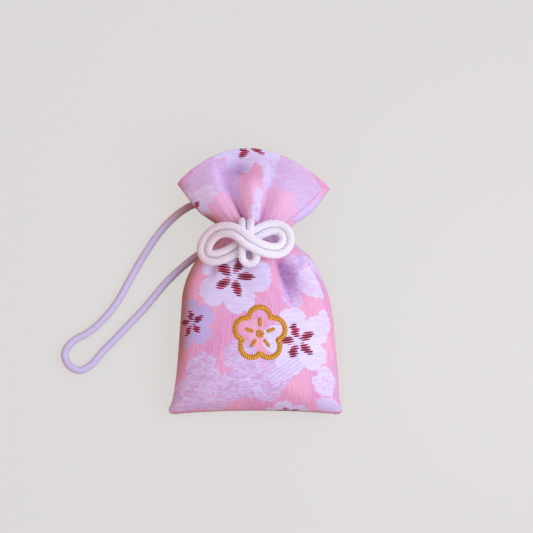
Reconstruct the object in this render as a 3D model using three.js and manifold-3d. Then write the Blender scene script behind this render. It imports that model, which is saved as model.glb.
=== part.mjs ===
// Omamori charm: a small gathered brocade pouch that lies on its back, mouth towards +Y and front up.
// Two brocade panels and their lining are sewn round the sides and the bottom. Two pads of wadding
// hold a paper-wrapped prayer slip between them. A cord tied round the neck carries a bow in front
// and, on a hitch behind, the hanging loop. Millimetres, +Z up, origin under the middle of the pouch.
import * as THREE from 'three';
import { mergeVertices } from 'three/addons/utils/BufferGeometryUtils.js';
import Module from 'manifold-3d';

const wasm = await Module();
wasm.setup();

// Outline of the pouch: widths across, and where up the side seam each one lies
const BODY_LENGTH = 47; // bottom seam to neck
const BOTTOM_WIDTH = 44.6;
const BELLY_WIDTH = 41.6;
const BELLY_HEIGHT = 13; // above the bottom seam
const SHOULDER_WIDTH = 38.6;
const SHOULDER_DROP = 17.3; // below the neck
const SLOPE_WIDTH = 31.2;
const SLOPE_DROP = 7.5;
const COLLAR_WIDTH = 21.6;
const COLLAR_DROP = 3;
const NECK_WIDTH = 18;
const FLARE_WIDTH = 29.8;
const FLARE_RISE = 5.6; // above the neck, along the side seam
const MOUTH_WIDTH = 40; // from tip to tip
const TIP_RISE = 12.5;
const RIM_RISE = 20.6; // neck to rim, up the middle
const RIM_CURVE_LEFT = 2.1; // how late the rim falls away from its middle
const RIM_CURVE_RIGHT = 1.2;
const BOTTOM_ARCH = 0.6; // the bottom seam's middle lies this much inside its corners

// Heights above the surface that the pouch lies on
const BODY_DEPTH = 13.5; // the crown of the front
const SHOULDER_DEPTH = 13.2;
const NECK_TOP = 12.3;
const RIM_TOP = 17.4;
const BOTTOM_SEAM = 3.4;
const BELLY_SEAM = 5.4;
const SHOULDER_SEAM = 7;
const NECK_SEAM = 8.6;
const TIP_SEAM = 10.2;
const BACK_PRESS = 1.2; // how far the surface flattens the back's own crown
const NECK_BACK = 4.9;
const RIM_BACK = 4.2;
const BACK_LIFT = 10; // the back leaves the surface this far below the neck
const EDGE_ROUND = 11; // length over which the bottom edge swells to full depth
const SECTION_POWER = 0.9; // under 1 makes the cross-section fuller than an ellipse
const SEAM_ROLL = 16; // degrees by which the right side seam has rolled to the front
const ROLL_START = 14; // height above which the seam rolls

// Folds of the gathered cloth, with their heights and reaches along the side seam
const CREASE_DEPTH = 2; // the two creases beside the middle of the mouth
const CREASE_HEIGHT = 2.5; // of their deepest place, above the neck
const CREASE_DOWN = 4.5;
const CREASE_UP = 8.5;
const HOLLOW_DEPTH = 2.2; // the hollow under the rim
const HOLLOW_HEIGHT = 9.8;
const HOLLOW_REACH = 2.7;
const SIDE_FOLD_DEPTH = 2; // the fold down the right of the body
const SIDE_FOLD_DROP = 7.5; // of its deepest place, below the neck
const SIDE_FOLD_DOWN = 11.5;
const SIDE_FOLD_UP = 6.5;
const BACK_FOLD_DEPTH = 0.8;
const BACK_FOLD_REACH = 14;
// Valleys: height of the deepest place; place across there (-1 to 1) and its drift for each side length up;
// half width; depth, and reach down and up
const FRONT_VALLEYS = [
  {
    height: CREASE_HEIGHT, across: -0.3, drift: -1.2, width: 0.1,
    depth: CREASE_DEPTH, down: CREASE_DOWN, up: CREASE_UP,
  },
  {
    height: CREASE_HEIGHT, across: 0.17, drift: 0.5, width: 0.12,
    depth: CREASE_DEPTH, down: CREASE_DOWN, up: CREASE_UP,
  },
  {
    height: HOLLOW_HEIGHT, across: -0.14, drift: 0, width: 0.21,
    depth: HOLLOW_DEPTH, down: HOLLOW_REACH, up: HOLLOW_REACH,
  },
  {
    height: -SIDE_FOLD_DROP, across: 0.43, drift: -0.36, width: 0.17,
    depth: SIDE_FOLD_DEPTH, down: SIDE_FOLD_DOWN, up: SIDE_FOLD_UP,
  },
];
const BACK_VALLEYS = [-0.4, 0.05, 0.45].map((across) => ({
  height: 0, across, drift: 0, depth: BACK_FOLD_DEPTH, width: 0.13, down: BACK_FOLD_REACH, up: BACK_FOLD_REACH,
}));
// Flaps of the front that lie over their neighbours: from and to above the neck, left and right edge across
// at the neck with their drift for each side length up, rise, and softness of the edges
const MOUTH_FLAP_LENGTH = 11;
const MOUTH_FLAP_RISE = 1.9;
const BODY_FLAP_LENGTH = 22.5;
const BODY_FLAP_RISE = 1.3;
const FRONT_FLAPS = [
  {
    from: 0, to: MOUTH_FLAP_LENGTH, left: -0.2, leftDrift: -1.1, right: 0.11, rightDrift: 0.5,
    rise: MOUTH_FLAP_RISE, soft: 0.08,
  },
  {
    from: -BODY_FLAP_LENGTH, to: 0, left: -0.02, leftDrift: 0, right: 0.33, rightDrift: -0.36,
    rise: BODY_FLAP_RISE, soft: 0.1,
  },
];
const FLAP_FADE = 0.33; // share of a flap's length over which each end rises
const RIM_CURL = 1.2; // how far the rim stands forward of the front, in the middle
const RIM_CURL_WIDE = 0.4; // half width across
const RIM_CURL_LONG = 2.8; // along the side seam

// Cloth, thread and fit
const CLOTH = 0.8; // brocade with its backing
const LINING = 0.4;
const LINING_SETBACK = 1.5; // the lining stops this far short of the rim
const FIT = 0.3; // clearance between pieces that touch
const THREAD = 0.5;

// The charm inside the pouch
const SLIP_THICK = 1;
const PAPER = 0.4;
const PAD_FIT = 0.6; // from the lining to the wadding, which bridges the folds
const SIDE_ROOM = 8.4; // from the lining to the wrapper, each side
const FOOT_ROOM = 3; // from the lining's bottom to the wrapper
const HEAD_ROOM = 10; // from the wrapper up to the neck
const SLIP_PEAK = 3; // height of the slip's pointed top
const PAD_HEAD_ROOM = 9; // from the wadding up to the neck
const PAD_SIDE_ROOM = 6; // from the lining to the wadding, each side of the belly

// The neck cord and its bow
const KNOT_CORD = 1.5;
const STRAND_GAP = 0.45; // between strands that lie side by side or cross
const TIE_OPENING = 12; // degrees, where the tie's two ends go into the bow
const BOW_X = -2.3;
const BOW_DROP = 3.8; // below the neck
const EAR_REACH_RIGHT = 10.9; // from the crossing to the middle of the strands at the ear's tip
const EAR_REACH_LEFT = 11;
const EAR_SPAN_RIGHT = 3.8; // half the height of an ear, to the middle of the strands
const EAR_SPAN_LEFT = 3.9;
const EARS = [
  { axis: 6, reach: EAR_REACH_RIGHT, span: EAR_SPAN_RIGHT, lean: 0 },
  { axis: 184, reach: EAR_REACH_LEFT, span: EAR_SPAN_LEFT, lean: 0.3 },
];
const EAR_DROOP = 1.5;
const EAR_STEPS = 24;
const BIGHT_WIDE = 1.9; // half width of the loop below the bow
const BIGHT_STRANDS = 1.05; // half the distance between its two strands at the tie
const BIGHT_REACH = 9.6; // below the neck
const BIGHT_ASIDE = 0.8; // the loop hangs this far to the right of the bow's middle

// The hanging loop
const LOOP_CORD = 2;
const HITCH_X = -1.5;
const HITCH_RADIUS = 2.3;
const FLOOR_GAP = 0.1; // under the hitch and the loop
// Route of the loop between its two ends on the hitch, as it lies on the surface
const LOOP_ROUTE = [
  [-7.4, 17.7], [-11.4, 21.1], [-16.0, 22.4], [-19.7, 20.6], [-22.6, 18.1],
  [-25.5, 14.9], [-28.3, 10.8], [-30.7, 6.8], [-33.2, 2.3], [-35.9, -2.8],
  [-38.1, -6.1], [-40.1, -8.5], [-42.2, -10.6], [-44.6, -12.4], [-46.9, -13.6],
  [-48.9, -15.2], [-50.2, -17.8], [-49.1, -20.7], [-46.3, -22.1], [-43.6, -21.0],
  [-41.7, -19.0], [-39.7, -16.6], [-37.9, -14.8], [-35.3, -12.0], [-32.6, -9.1],
  [-29.7, -6.0], [-27.0, -2.7], [-24.2, 0.7], [-21.3, 3.7], [-18.4, 6.3],
  [-15.7, 8.4], [-12.4, 10.3], [-8.6, 11.9],
];
const LOOP_EXIT_UPPER = 142; // degrees round the hitch
const LOOP_EXIT_LOWER = 196;

const LENGTH = BODY_LENGTH + RIM_RISE;
const BOTTOM_Y = -LENGTH / 2;
const NECK_Y = BOTTOM_Y + BODY_LENGTH;
const SIDE_LENGTH = BODY_LENGTH + TIP_RISE;
const LINING_TOP = BODY_LENGTH + TIP_RISE * (1 - LINING_SETBACK / RIM_RISE); // along the side seam
const LINING_OUT = CLOTH + FIT; // depth under the brocade's face at which each layer starts
const LINING_IN = LINING_OUT + LINING;
const PAD_OUT = LINING_IN + PAD_FIT;
const BODY_ROWS = 16;
const MOUTH_ROWS = 8;
const FRONT_COLUMNS = 28;
const BACK_COLUMNS = 18;

// Smooth curve through [at, value] stations that never overshoots them: a monotone cubic
function smoothCurve(stations) {
  const slope = stations.slice(1).map(([x, y], i) => (y - stations[i][1]) / (x - stations[i][0]));
  const tangent = stations.map((_, i) => {
    if (i === 0) return slope[0];
    if (i === slope.length) return slope[i - 1];
    const [before, after] = [slope[i - 1], slope[i]];
    return before * after <= 0 ? 0 : (2 * before * after) / (before + after);
  });
  return (x) => {
    let i = 0;
    while (i < slope.length - 1 && x > stations[i + 1][0]) i += 1;
    const span = stations[i + 1][0] - stations[i][0];
    const t = THREE.MathUtils.clamp((x - stations[i][0]) / span, 0, 1);
    const rise = t * t * (3 - 2 * t);
    return (
      stations[i][1] * (1 - rise) + stations[i + 1][1] * rise
      + span * t * (1 - t) * ((1 - t) * tangent[i] - t * tangent[i + 1])
    );
  };
}

const halfWidth = smoothCurve([
  [0, BOTTOM_WIDTH / 2],
  [BELLY_HEIGHT, BELLY_WIDTH / 2],
  [BODY_LENGTH - SHOULDER_DROP, SHOULDER_WIDTH / 2],
  [BODY_LENGTH - SLOPE_DROP, SLOPE_WIDTH / 2],
  [BODY_LENGTH - COLLAR_DROP, COLLAR_WIDTH / 2],
  [BODY_LENGTH, NECK_WIDTH / 2],
  [BODY_LENGTH + FLARE_RISE, FLARE_WIDTH / 2],
  [SIDE_LENGTH, MOUTH_WIDTH / 2],
]);
const frontTop = smoothCurve([
  [0, BODY_DEPTH],
  [BODY_LENGTH - SHOULDER_DROP, BODY_DEPTH],
  [BODY_LENGTH - SLOPE_DROP, SHOULDER_DEPTH],
  [BODY_LENGTH, NECK_TOP],
  [SIDE_LENGTH, RIM_TOP],
]);
const backBottom = smoothCurve([
  [0, -BACK_PRESS],
  [BODY_LENGTH - SHOULDER_DROP, -BACK_PRESS],
  [BODY_LENGTH - BACK_LIFT, 0],
  [BODY_LENGTH, NECK_BACK],
  [SIDE_LENGTH, RIM_BACK],
]);
const seamHeight = smoothCurve([
  [0, BOTTOM_SEAM],
  [BELLY_HEIGHT, BELLY_SEAM],
  [BODY_LENGTH - SLOPE_DROP, SHOULDER_SEAM],
  [BODY_LENGTH, NECK_SEAM],
  [SIDE_LENGTH, TIP_SEAM],
]);
const seamRoll = (side) =>
  THREE.MathUtils.degToRad(SEAM_ROLL) * THREE.MathUtils.smoothstep(side, ROLL_START, BODY_LENGTH);

// Depth of the valleys at a place: each has bell-shaped sides along a leaning line and fades out both ways
function valleyDepth(valleys, side, across) {
  return valleys.reduce((sum, { height, across: place, drift, depth, width, down, up }) => {
    const away = side - BODY_LENGTH - height;
    const fade = THREE.MathUtils.smoothstep(1 - Math.abs(away) / (away < 0 ? down : up), 0, 1);
    const spread = (across - place - (drift * away) / SIDE_LENGTH) / width;
    return sum + depth * fade * Math.exp(-spread * spread);
  }, 0);
}

// Rise of the front at a place: flaps, level between two leaning edges, and the curl of the rim
function frontRise(side, across) {
  const height = side - BODY_LENGTH;
  const flaps = FRONT_FLAPS.reduce((sum, { from, to, left, leftDrift, right, rightDrift, rise, soft }) => {
    const fromEnd = Math.min(height - from, to - height) / (FLAP_FADE * (to - from));
    const pastLeft = Math.tanh((across - left - (leftDrift * height) / SIDE_LENGTH) / soft);
    const pastRight = Math.tanh((across - right - (rightDrift * height) / SIDE_LENGTH) / soft);
    return sum + rise * THREE.MathUtils.smoothstep(fromEnd, 0, 1) * (pastLeft - pastRight) / 2;
  }, 0);
  const curl = THREE.MathUtils.smoothstep(side, SIDE_LENGTH - RIM_CURL_LONG, SIDE_LENGTH);
  return flaps + RIM_CURL * curl * Math.exp(-((across / RIM_CURL_WIDE) ** 2));
}

// A point of the pouch: `side` is the way up the side seam, `turn` the angle round the section (0 is
// the right side, 90 degrees the front, 180 the left), `depth` how far under the brocade's face it
// lies, and `part` how far a half that stops at the seams is moved off the other half
function pouchPoint(side, turn, depth, part = 0) {
  const [c, s] = [Math.cos(turn), Math.sin(turn)];
  const across = Math.sign(c) * Math.abs(c) ** SECTION_POWER;
  const swell = Math.abs(s) ** SECTION_POWER * Math.sqrt(1 - (1 - Math.min(side / EDGE_ROUND, 1)) ** 2);
  const seam = seamHeight(side);
  const up = Math.max(side - BODY_LENGTH, 0) / TIP_RISE;
  const body = Math.min(side / BODY_LENGTH, 1);
  const fall = Math.abs(across) ** (across < 0 ? RIM_CURVE_LEFT : RIM_CURVE_RIGHT);
  const arch = BOTTOM_ARCH * (1 - across * across) * (1 - body);
  const y = BOTTOM_Y + depth * (1 - body) + arch + body * BODY_LENGTH
    + up * (RIM_RISE - (RIM_RISE - TIP_RISE) * fall);
  const frontFold = frontRise(side, across) - valleyDepth(FRONT_VALLEYS, side, across);
  const front = seam + (frontTop(side) - seam - depth + frontFold) * swell;
  const back = seam - (seam - backBottom(side) - depth - valleyDepth(BACK_VALLEYS, side, across)) * swell;
  const z = s >= 0 ? front + part : Math.max(back + part, depth);
  return new THREE.Vector3((halfWidth(side) - depth) * across, y, z);
}

// Places up the side seam to a top, close together at the bottom and the neck; every layer uses the same
function sideSteps(top) {
  const body = Array.from({ length: BODY_ROWS }, (_, i) =>
    (BODY_LENGTH * (1 - Math.cos((Math.PI * i) / BODY_ROWS))) / 2);
  const mouth = Array.from({ length: MOUTH_ROWS }, (_, i) => BODY_LENGTH + (TIP_RISE * i) / MOUTH_ROWS);
  const steps = body.concat(mouth, [LINING_TOP]).sort((a, b) => a - b);
  return steps.filter((side) => side < top).concat([top]);
}

// Closed mesh from rows of points: rows[i][j], with faces on the left of i going up and j going on
function geometryOf(positions, faces) {
  const geometry = new THREE.BufferGeometry();
  geometry.setAttribute('position', new THREE.Float32BufferAttribute(positions.flatMap((p) => p.toArray()), 3));
  geometry.setIndex(faces);
  geometry.computeVertexNormals();
  return geometry;
}

// A cloth panel: the pouch's surface from one side seam to the other, between two depths
function panelGeometry({ from, to, out, inn, top, part, columns }) {
  const sides = sideSteps(top);
  const points = [];
  const layer = (depth) => sides.map((side) =>
    Array.from({ length: columns + 1 }, (_, j) => {
      const turn = THREE.MathUtils.lerp(from(side), to(side), j / columns);
      const nearSeam = (1 - Math.sin((Math.PI * j) / columns)) ** 2;
      return points.push(pouchPoint(side, turn, depth, part * nearSeam)) - 1;
    }));
  const [outer, inner] = [layer(out), layer(inn)];
  const faces = [];
  const quad = (a, b, c, d) => faces.push(a, b, c, a, c, d);
  const last = sides.length - 1;
  for (let i = 0; i < last; i += 1) {
    for (let j = 0; j < columns; j += 1) {
      quad(outer[i][j], outer[i][j + 1], outer[i + 1][j + 1], outer[i + 1][j]);
      quad(inner[i][j], inner[i + 1][j], inner[i + 1][j + 1], inner[i][j + 1]);
    }
    quad(outer[i][0], outer[i + 1][0], inner[i + 1][0], inner[i][0]);
    quad(outer[i][columns], inner[i][columns], inner[i + 1][columns], outer[i + 1][columns]);
  }
  for (let j = 0; j < columns; j += 1) {
    quad(outer[0][j], inner[0][j], inner[0][j + 1], outer[0][j + 1]);
    quad(outer[last][j], outer[last][j + 1], inner[last][j + 1], inner[last][j]);
  }
  return geometryOf(points, faces.reverse());
}

// The whole space inside the pouch at a depth, from its bottom up to a flat top
function pillowGeometry(depth, top) {
  const sides = sideSteps(top);
  const columns = 2 * FRONT_COLUMNS;
  const points = [];
  const rings = sides.map((side) =>
    Array.from({ length: columns }, (_, j) =>
      points.push(pouchPoint(side, (2 * Math.PI * j) / columns, depth)) - 1));
  const faces = [];
  for (let i = 0; i < rings.length - 1; i += 1) {
    for (let j = 0; j < columns; j += 1) {
      const k = (j + 1) % columns;
      faces.push(rings[i][j], rings[i + 1][k], rings[i][k], rings[i][j], rings[i + 1][j], rings[i + 1][k]);
    }
  }
  const lid = rings[rings.length - 1];
  const middle = points.push(pouchPoint(top, 0, depth).setX(0)) - 1;
  lid.forEach((a, j) => faces.push(a, middle, lid[(j + 1) % columns]));
  return geometryOf(points, faces);
}

// Solid and geometry, both ways
function solidOf(geometry) {
  const bare = new THREE.BufferGeometry().setAttribute('position', geometry.getAttribute('position').clone());
  if (geometry.index) bare.setIndex(geometry.index.clone());
  const merged = mergeVertices(bare, 1e-4);
  return new wasm.Manifold(new wasm.Mesh({
    numProp: 3,
    vertProperties: new Float32Array(merged.attributes.position.array),
    triVerts: new Uint32Array(merged.index.array),
  }));
}
function geometryOfSolid(solid) {
  const mesh = solid.getMesh();
  const geometry = new THREE.BufferGeometry();
  geometry.setAttribute('position', new THREE.BufferAttribute(mesh.vertProperties, 3));
  geometry.setIndex(new THREE.BufferAttribute(mesh.triVerts, 1));
  geometry.computeVertexNormals();
  return geometry;
}
function boxSolid(low, high) {
  const [size, middle] = [new THREE.Vector3(), new THREE.Vector3()];
  const box = new THREE.Box3(new THREE.Vector3(...low), new THREE.Vector3(...high));
  box.getSize(size);
  box.getCenter(middle);
  return solidOf(new THREE.BoxGeometry(size.x, size.y, size.z).translate(middle.x, middle.y, middle.z));
}

// A round cord along points
function cordGeometry(points, diameter, steps, sides) {
  const ring = Array.from({ length: sides }, (_, i) => {
    const angle = (2 * Math.PI * i) / sides;
    return new THREE.Vector2(Math.cos(angle), Math.sin(angle)).multiplyScalar(diameter / 2);
  });
  return new THREE.ExtrudeGeometry(new THREE.Shape(ring), {
    steps,
    bevelEnabled: false,
    extrudePath: new THREE.CatmullRomCurve3(points, false, 'centripetal'),
  });
}

const cloth = (color) => new THREE.MeshStandardMaterial({ color, roughness: 0.85, metalness: 0 });
const charm = new THREE.Group();
function add(name, geometry, material) {
  const mesh = new THREE.Mesh(geometry, material);
  mesh.name = name;
  charm.add(mesh);
}

// Brocade panels, then the lining inside them
const brocade = cloth(0xeea9cb);
const lining = cloth(0xf6e4ec);
const frontTurns = { from: seamRoll, to: () => Math.PI, part: FIT / 2, columns: FRONT_COLUMNS };
const backTurns = {
  from: () => Math.PI, to: (side) => 2 * Math.PI + seamRoll(side), part: -FIT / 2, columns: BACK_COLUMNS,
};
const brocadeLayer = { out: 0, inn: CLOTH, top: SIDE_LENGTH };
add('front_panel', panelGeometry({ ...frontTurns, ...brocadeLayer }), brocade);
add('back_panel', panelGeometry({ ...backTurns, ...brocadeLayer }), brocade);

const liningLayer = { out: LINING_OUT, inn: LINING_IN, top: LINING_TOP };
add('front_lining', panelGeometry({ ...frontTurns, ...liningLayer }), lining);
add('back_lining', panelGeometry({ ...backTurns, ...liningLayer }), lining);

// One thread on the inside of the seam, down the left side, along the bottom and up the right
const seamDepth = LINING_IN + FIT + THREAD / 2;
const seamSides = sideSteps(LINING_TOP).slice(2);
const seamPoint = (side, turn) => pouchPoint(side, turn, seamDepth);
const bottomSeam = Array.from({ length: 9 }, (_, i) => seamPoint(0, Math.PI + (Math.PI * (i + 0.5)) / 9));
const seamRoute = [...seamSides].reverse().map((side) => seamPoint(side, Math.PI))
  .concat(bottomSeam, seamSides.map((side) => seamPoint(side, seamRoll(side))));
add('seam_thread', cordGeometry(seamRoute, THREAD, 84, 5), cloth(0xd98bb4));

// The paper-wrapped prayer slip lies level in the middle of the pouch's depth
const wrapperThick = SLIP_THICK + 2 * (PAPER + FIT);
const wrapperBottom = (BODY_DEPTH - wrapperThick) / 2;
const wrapperTop = wrapperBottom + wrapperThick;
const wrapperHalf = BELLY_WIDTH / 2 - LINING_IN - SIDE_ROOM;
const wrapperFoot = BOTTOM_Y + LINING_IN + FOOT_ROOM;
const wrapperHead = NECK_Y - HEAD_ROOM;
const pocket = PAPER + FIT; // from the wrapper's outside to the slip
const wrapper = boxSolid([-wrapperHalf, wrapperFoot, wrapperBottom], [wrapperHalf, wrapperHead, wrapperTop])
  .subtract(boxSolid(
    [PAPER - wrapperHalf, wrapperFoot + PAPER, wrapperBottom + PAPER],
    [wrapperHalf - PAPER, wrapperHead + PAPER, wrapperTop - PAPER],
  ));
const paper = new THREE.MeshStandardMaterial({ color: 0xf7f4ec, roughness: 0.9 });
add('paper_wrapper', geometryOfSolid(wrapper), paper);

const slipHalf = wrapperHalf - pocket;
const slipOutline = new THREE.Shape([
  new THREE.Vector2(-slipHalf, wrapperFoot + pocket),
  new THREE.Vector2(slipHalf, wrapperFoot + pocket),
  new THREE.Vector2(slipHalf, wrapperHead - FIT - SLIP_PEAK),
  new THREE.Vector2(0, wrapperHead - FIT),
  new THREE.Vector2(-slipHalf, wrapperHead - FIT - SLIP_PEAK),
]);
const slip = new THREE.ExtrudeGeometry(slipOutline, { depth: SLIP_THICK, bevelEnabled: false });
slip.translate(0, 0, wrapperBottom + pocket);
add('prayer_slip', slip, new THREE.MeshStandardMaterial({ color: 0xd9b98a, roughness: 0.7 }));

// Wadding above and below the wrapper, filling the lining up to the shoulders
const padSpace = solidOf(pillowGeometry(PAD_OUT, BODY_LENGTH - PAD_HEAD_ROOM));
const padHalf = BELLY_WIDTH / 2 - LINING_IN - PAD_SIDE_ROOM;
const padCut = (low, high) => geometryOfSolid(padSpace.intersect(
  boxSolid([-padHalf, wrapperFoot, low], [padHalf, NECK_Y, high])));
const wadding = cloth(0xf8f6f2);
add('front_wadding', padCut(wrapperTop + FIT, 2 * BODY_DEPTH), wadding);
add('back_wadding', padCut(-BODY_DEPTH, wrapperBottom - FIT), wadding);

// The cord tied round the neck: one turn that opens in front, under the bow
const knotCord = cloth(0xf2f1f7);
const tieDepth = -(FIT + KNOT_CORD / 2);
const tieSteps = 36;
const tieStart = Math.PI / 2 + THREE.MathUtils.degToRad(TIE_OPENING / 2);
const tieTurn = 2 * Math.PI - THREE.MathUtils.degToRad(TIE_OPENING);
const tieRoute = Array.from({ length: tieSteps + 1 }, (_, i) =>
  pouchPoint(BODY_LENGTH, tieStart + (tieTurn * i) / tieSteps, tieDepth, 0));
add('neck_tie', cordGeometry(tieRoute, KNOT_CORD, 2 * tieSteps, 6), knotCord);

// The bow: the cord lies twice round a figure of eight, two strands side by side through both ears.
// Each ear is a teardrop that leaves the crossing at its top and comes back at its bottom.
const bowLift = KNOT_CORD + STRAND_GAP + FIT / 5; // from the bight up or down to the bow's crossing strands
const overTie = NECK_TOP + 2 * FIT + 1.5 * KNOT_CORD; // middle of a strand that lies on the tie
const bowHeight = overTie + bowLift;
const strandShift = (KNOT_CORD + STRAND_GAP) / 2;
const TEARDROP_PEAK = 4 / (3 * Math.sqrt(3)); // the most that sin(t) sin(t / 2) reaches
function earPoint({ axis, reach, span, lean }, share) {
  const t = 2 * Math.PI * share;
  const aside = (span / TEARDROP_PEAK) * Math.sin(t) * Math.sin(t / 2);
  const out = reach * Math.sin(t / 2) ** 2 - lean * aside;
  const angle = THREE.MathUtils.degToRad(axis);
  const up = Math.sign(Math.cos(angle));
  return new THREE.Vector3(
    BOW_X + out * Math.cos(angle) - up * aside * Math.sin(angle),
    NECK_Y - BOW_DROP + out * Math.sin(angle) + up * aside * Math.cos(angle),
    0,
  );
}
const earFine = 120;
const bowLine = EARS.flatMap((ear) => {
  const fine = Array.from({ length: earFine + 1 }, (_, i) => earPoint(ear, i / earFine));
  return new THREE.CatmullRomCurve3(fine).getSpacedPoints(EAR_STEPS).slice(0, EAR_STEPS);
});
const bowSteps = bowLine.length;
const swapSteps = 4; // the strand changes sides over these, just before the crossing
const bowRoute = [];
for (let i = 0; i < 2 * bowSteps - swapSteps; i += 1) {
  const here = bowLine[i % bowSteps];
  const ahead = bowLine[(i + 1) % bowSteps];
  const behind = bowLine[(i + bowSteps - 1) % bowSteps];
  const side = new THREE.Vector3(behind.y - ahead.y, ahead.x - behind.x, 0).normalize();
  const swap = THREE.MathUtils.smoothstep(i, bowSteps - swapSteps, bowSteps);
  const turn = (2 * Math.PI * i) / bowSteps;
  const height = bowHeight - bowLift * Math.cos(turn) - EAR_DROOP * Math.sin(turn) ** 2;
  bowRoute.push(here.clone().addScaledVector(side, strandShift * (1 - 2 * swap)).setZ(height));
}
add('bow_loops', cordGeometry(bowRoute, KNOT_CORD, 2 * EAR_STEPS * 2, 6), knotCord);

// The least room between strands of the bow, measured on points along it
const bowFine = new THREE.CatmullRomCurve3(bowRoute, false, 'centripetal').getSpacedPoints(600);
const bowStep = bowFine[0].distanceTo(bowFine[1]);
const apart = Math.ceil((3 * KNOT_CORD) / bowStep);
let bowGap = Infinity;
bowFine.forEach((a, i) => bowFine.slice(i + apart).forEach((b) => {
  bowGap = Math.min(bowGap, a.distanceTo(b) - KNOT_CORD);
}));
console.log(`bow_loops least gap to itself ${bowGap.toFixed(2)} mm`);

// The bight: two strands rise behind the tie, run down through the bow's crossing, between the pair that
// lies low and the pair that lies high, and end in a small loop
const hookBack = KNOT_CORD / 2 + STRAND_GAP + FIT; // how far behind the tie's middle the ends come down
const bightSide = (hand) => [
  [BOW_X + hand * BIGHT_STRANDS, NECK_Y + hookBack + KNOT_CORD / 2, overTie - KNOT_CORD / 2],
  [BOW_X + hand * BIGHT_STRANDS, NECK_Y + KNOT_CORD / 2, overTie + KNOT_CORD],
  [BOW_X + hand * BIGHT_STRANDS, NECK_Y - KNOT_CORD / 2, bowHeight],
  [BOW_X + hand * BIGHT_STRANDS, NECK_Y - BOW_DROP, bowHeight],
  [BOW_X + BIGHT_ASIDE + hand * BIGHT_WIDE, NECK_Y - BIGHT_REACH + BIGHT_WIDE, bowHeight],
];
const bightFoot = [-1, 0, 1].map((hand) => [
  BOW_X + BIGHT_ASIDE + hand * BIGHT_WIDE * Math.SQRT1_2,
  NECK_Y - BIGHT_REACH + Math.abs(hand) * BIGHT_WIDE * (1 - Math.SQRT1_2),
  bowHeight - STRAND_GAP,
]);
const bightRoute = [...bightSide(-1), ...bightFoot, ...bightSide(1).reverse()]
  .map((point) => new THREE.Vector3(...point));
add('centre_bight', cordGeometry(bightRoute, KNOT_CORD, 48, 6), knotCord);

// The hitch: the knot that holds the loop's two ends under the tie, at the back of the neck
const tieUnder = NECK_BACK - FIT - KNOT_CORD;
const hitchTop = tieUnder - FIT;
const hitchHalf = (hitchTop - FLOOR_GAP) / 2;
const loopCord = cloth(0xd6cfea);
const hitchProfile = [new THREE.Vector2(0, FLOOR_GAP)];
for (let i = 0; i <= 6; i += 1) {
  const angle = (Math.PI * i) / 6 - Math.PI / 2;
  hitchProfile.push(new THREE.Vector2(
    HITCH_RADIUS - hitchHalf * (1 - Math.cos(angle)),
    FLOOR_GAP + hitchHalf * (1 + Math.sin(angle)),
  ));
}
hitchProfile.push(new THREE.Vector2(0, hitchTop));
const hitch = new THREE.LatheGeometry(hitchProfile, 16).rotateX(Math.PI / 2).translate(HITCH_X, NECK_Y, 0);
add('hitch_knot', hitch, loopCord);

// The hanging loop lies on the surface, from one side of the hitch round to the other
const loopHeight = LOOP_CORD / 2 + FLOOR_GAP;
function loopExit(degrees, distance) {
  const angle = THREE.MathUtils.degToRad(degrees);
  return [HITCH_X + distance * Math.cos(angle), NECK_Y + distance * Math.sin(angle)];
}
const loopStart = HITCH_RADIUS + FIT;
const loopRoute = [
  loopExit(LOOP_EXIT_UPPER, loopStart), loopExit(LOOP_EXIT_UPPER, loopStart + LOOP_CORD),
  ...LOOP_ROUTE,
  loopExit(LOOP_EXIT_LOWER, loopStart + LOOP_CORD), loopExit(LOOP_EXIT_LOWER, loopStart),
].map(([x, y]) => new THREE.Vector3(x, y, loopHeight));
add('hanging_loop', cordGeometry(loopRoute, LOOP_CORD, 70, 8), loopCord);

export default charm;
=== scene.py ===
import math

import bpy
import numpy as np
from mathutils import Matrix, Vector


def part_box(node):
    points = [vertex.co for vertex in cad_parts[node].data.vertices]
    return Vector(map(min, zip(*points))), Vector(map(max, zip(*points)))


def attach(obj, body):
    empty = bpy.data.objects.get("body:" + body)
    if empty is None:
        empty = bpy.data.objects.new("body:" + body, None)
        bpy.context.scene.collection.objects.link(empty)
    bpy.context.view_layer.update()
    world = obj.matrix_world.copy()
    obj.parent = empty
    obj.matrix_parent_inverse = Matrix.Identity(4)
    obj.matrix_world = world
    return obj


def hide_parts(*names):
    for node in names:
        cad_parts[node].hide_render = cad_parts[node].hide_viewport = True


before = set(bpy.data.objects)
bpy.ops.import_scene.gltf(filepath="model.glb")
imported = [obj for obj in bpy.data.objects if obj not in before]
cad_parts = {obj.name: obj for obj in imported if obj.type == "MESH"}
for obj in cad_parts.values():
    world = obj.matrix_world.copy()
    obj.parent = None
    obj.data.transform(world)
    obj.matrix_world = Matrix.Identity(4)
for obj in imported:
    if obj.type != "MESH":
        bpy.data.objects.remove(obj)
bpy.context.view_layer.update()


# The setting. The charm lies on a pale board, lit by a soft window high on its right, with the warm brown
# of a wooden room on its left, and is seen from nearly overhead, leaning a little towards its foot.
LOOK_AT = Vector((0.0029, 0.00455, 0.0070))
VIEW_DISTANCE = 0.45
VIEW_HEIGHT = math.radians(80)
VIEW_LENS = 116.0
VIEW_SENSOR = 36.0
VIEW_START = 0.01
BOARD_SIZE = 3.0
BOARD_DROP = 0.0001
BOARD_GLOW = 0.8
WINDOW_FROM = Vector((0.62, -0.16, 0.77))
WINDOW_AWAY = 0.15
WINDOW_SIZE = 0.10
WINDOW_POWER = 0.100
# From left to right, where the room's light turns from brown to day, and the day from grey to blue
BROWN_TO_DAY = (-0.42, 0.10)
GREY_TO_BLUE = (0.2, 0.9)
CEILING_SHARE = 0.75


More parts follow.
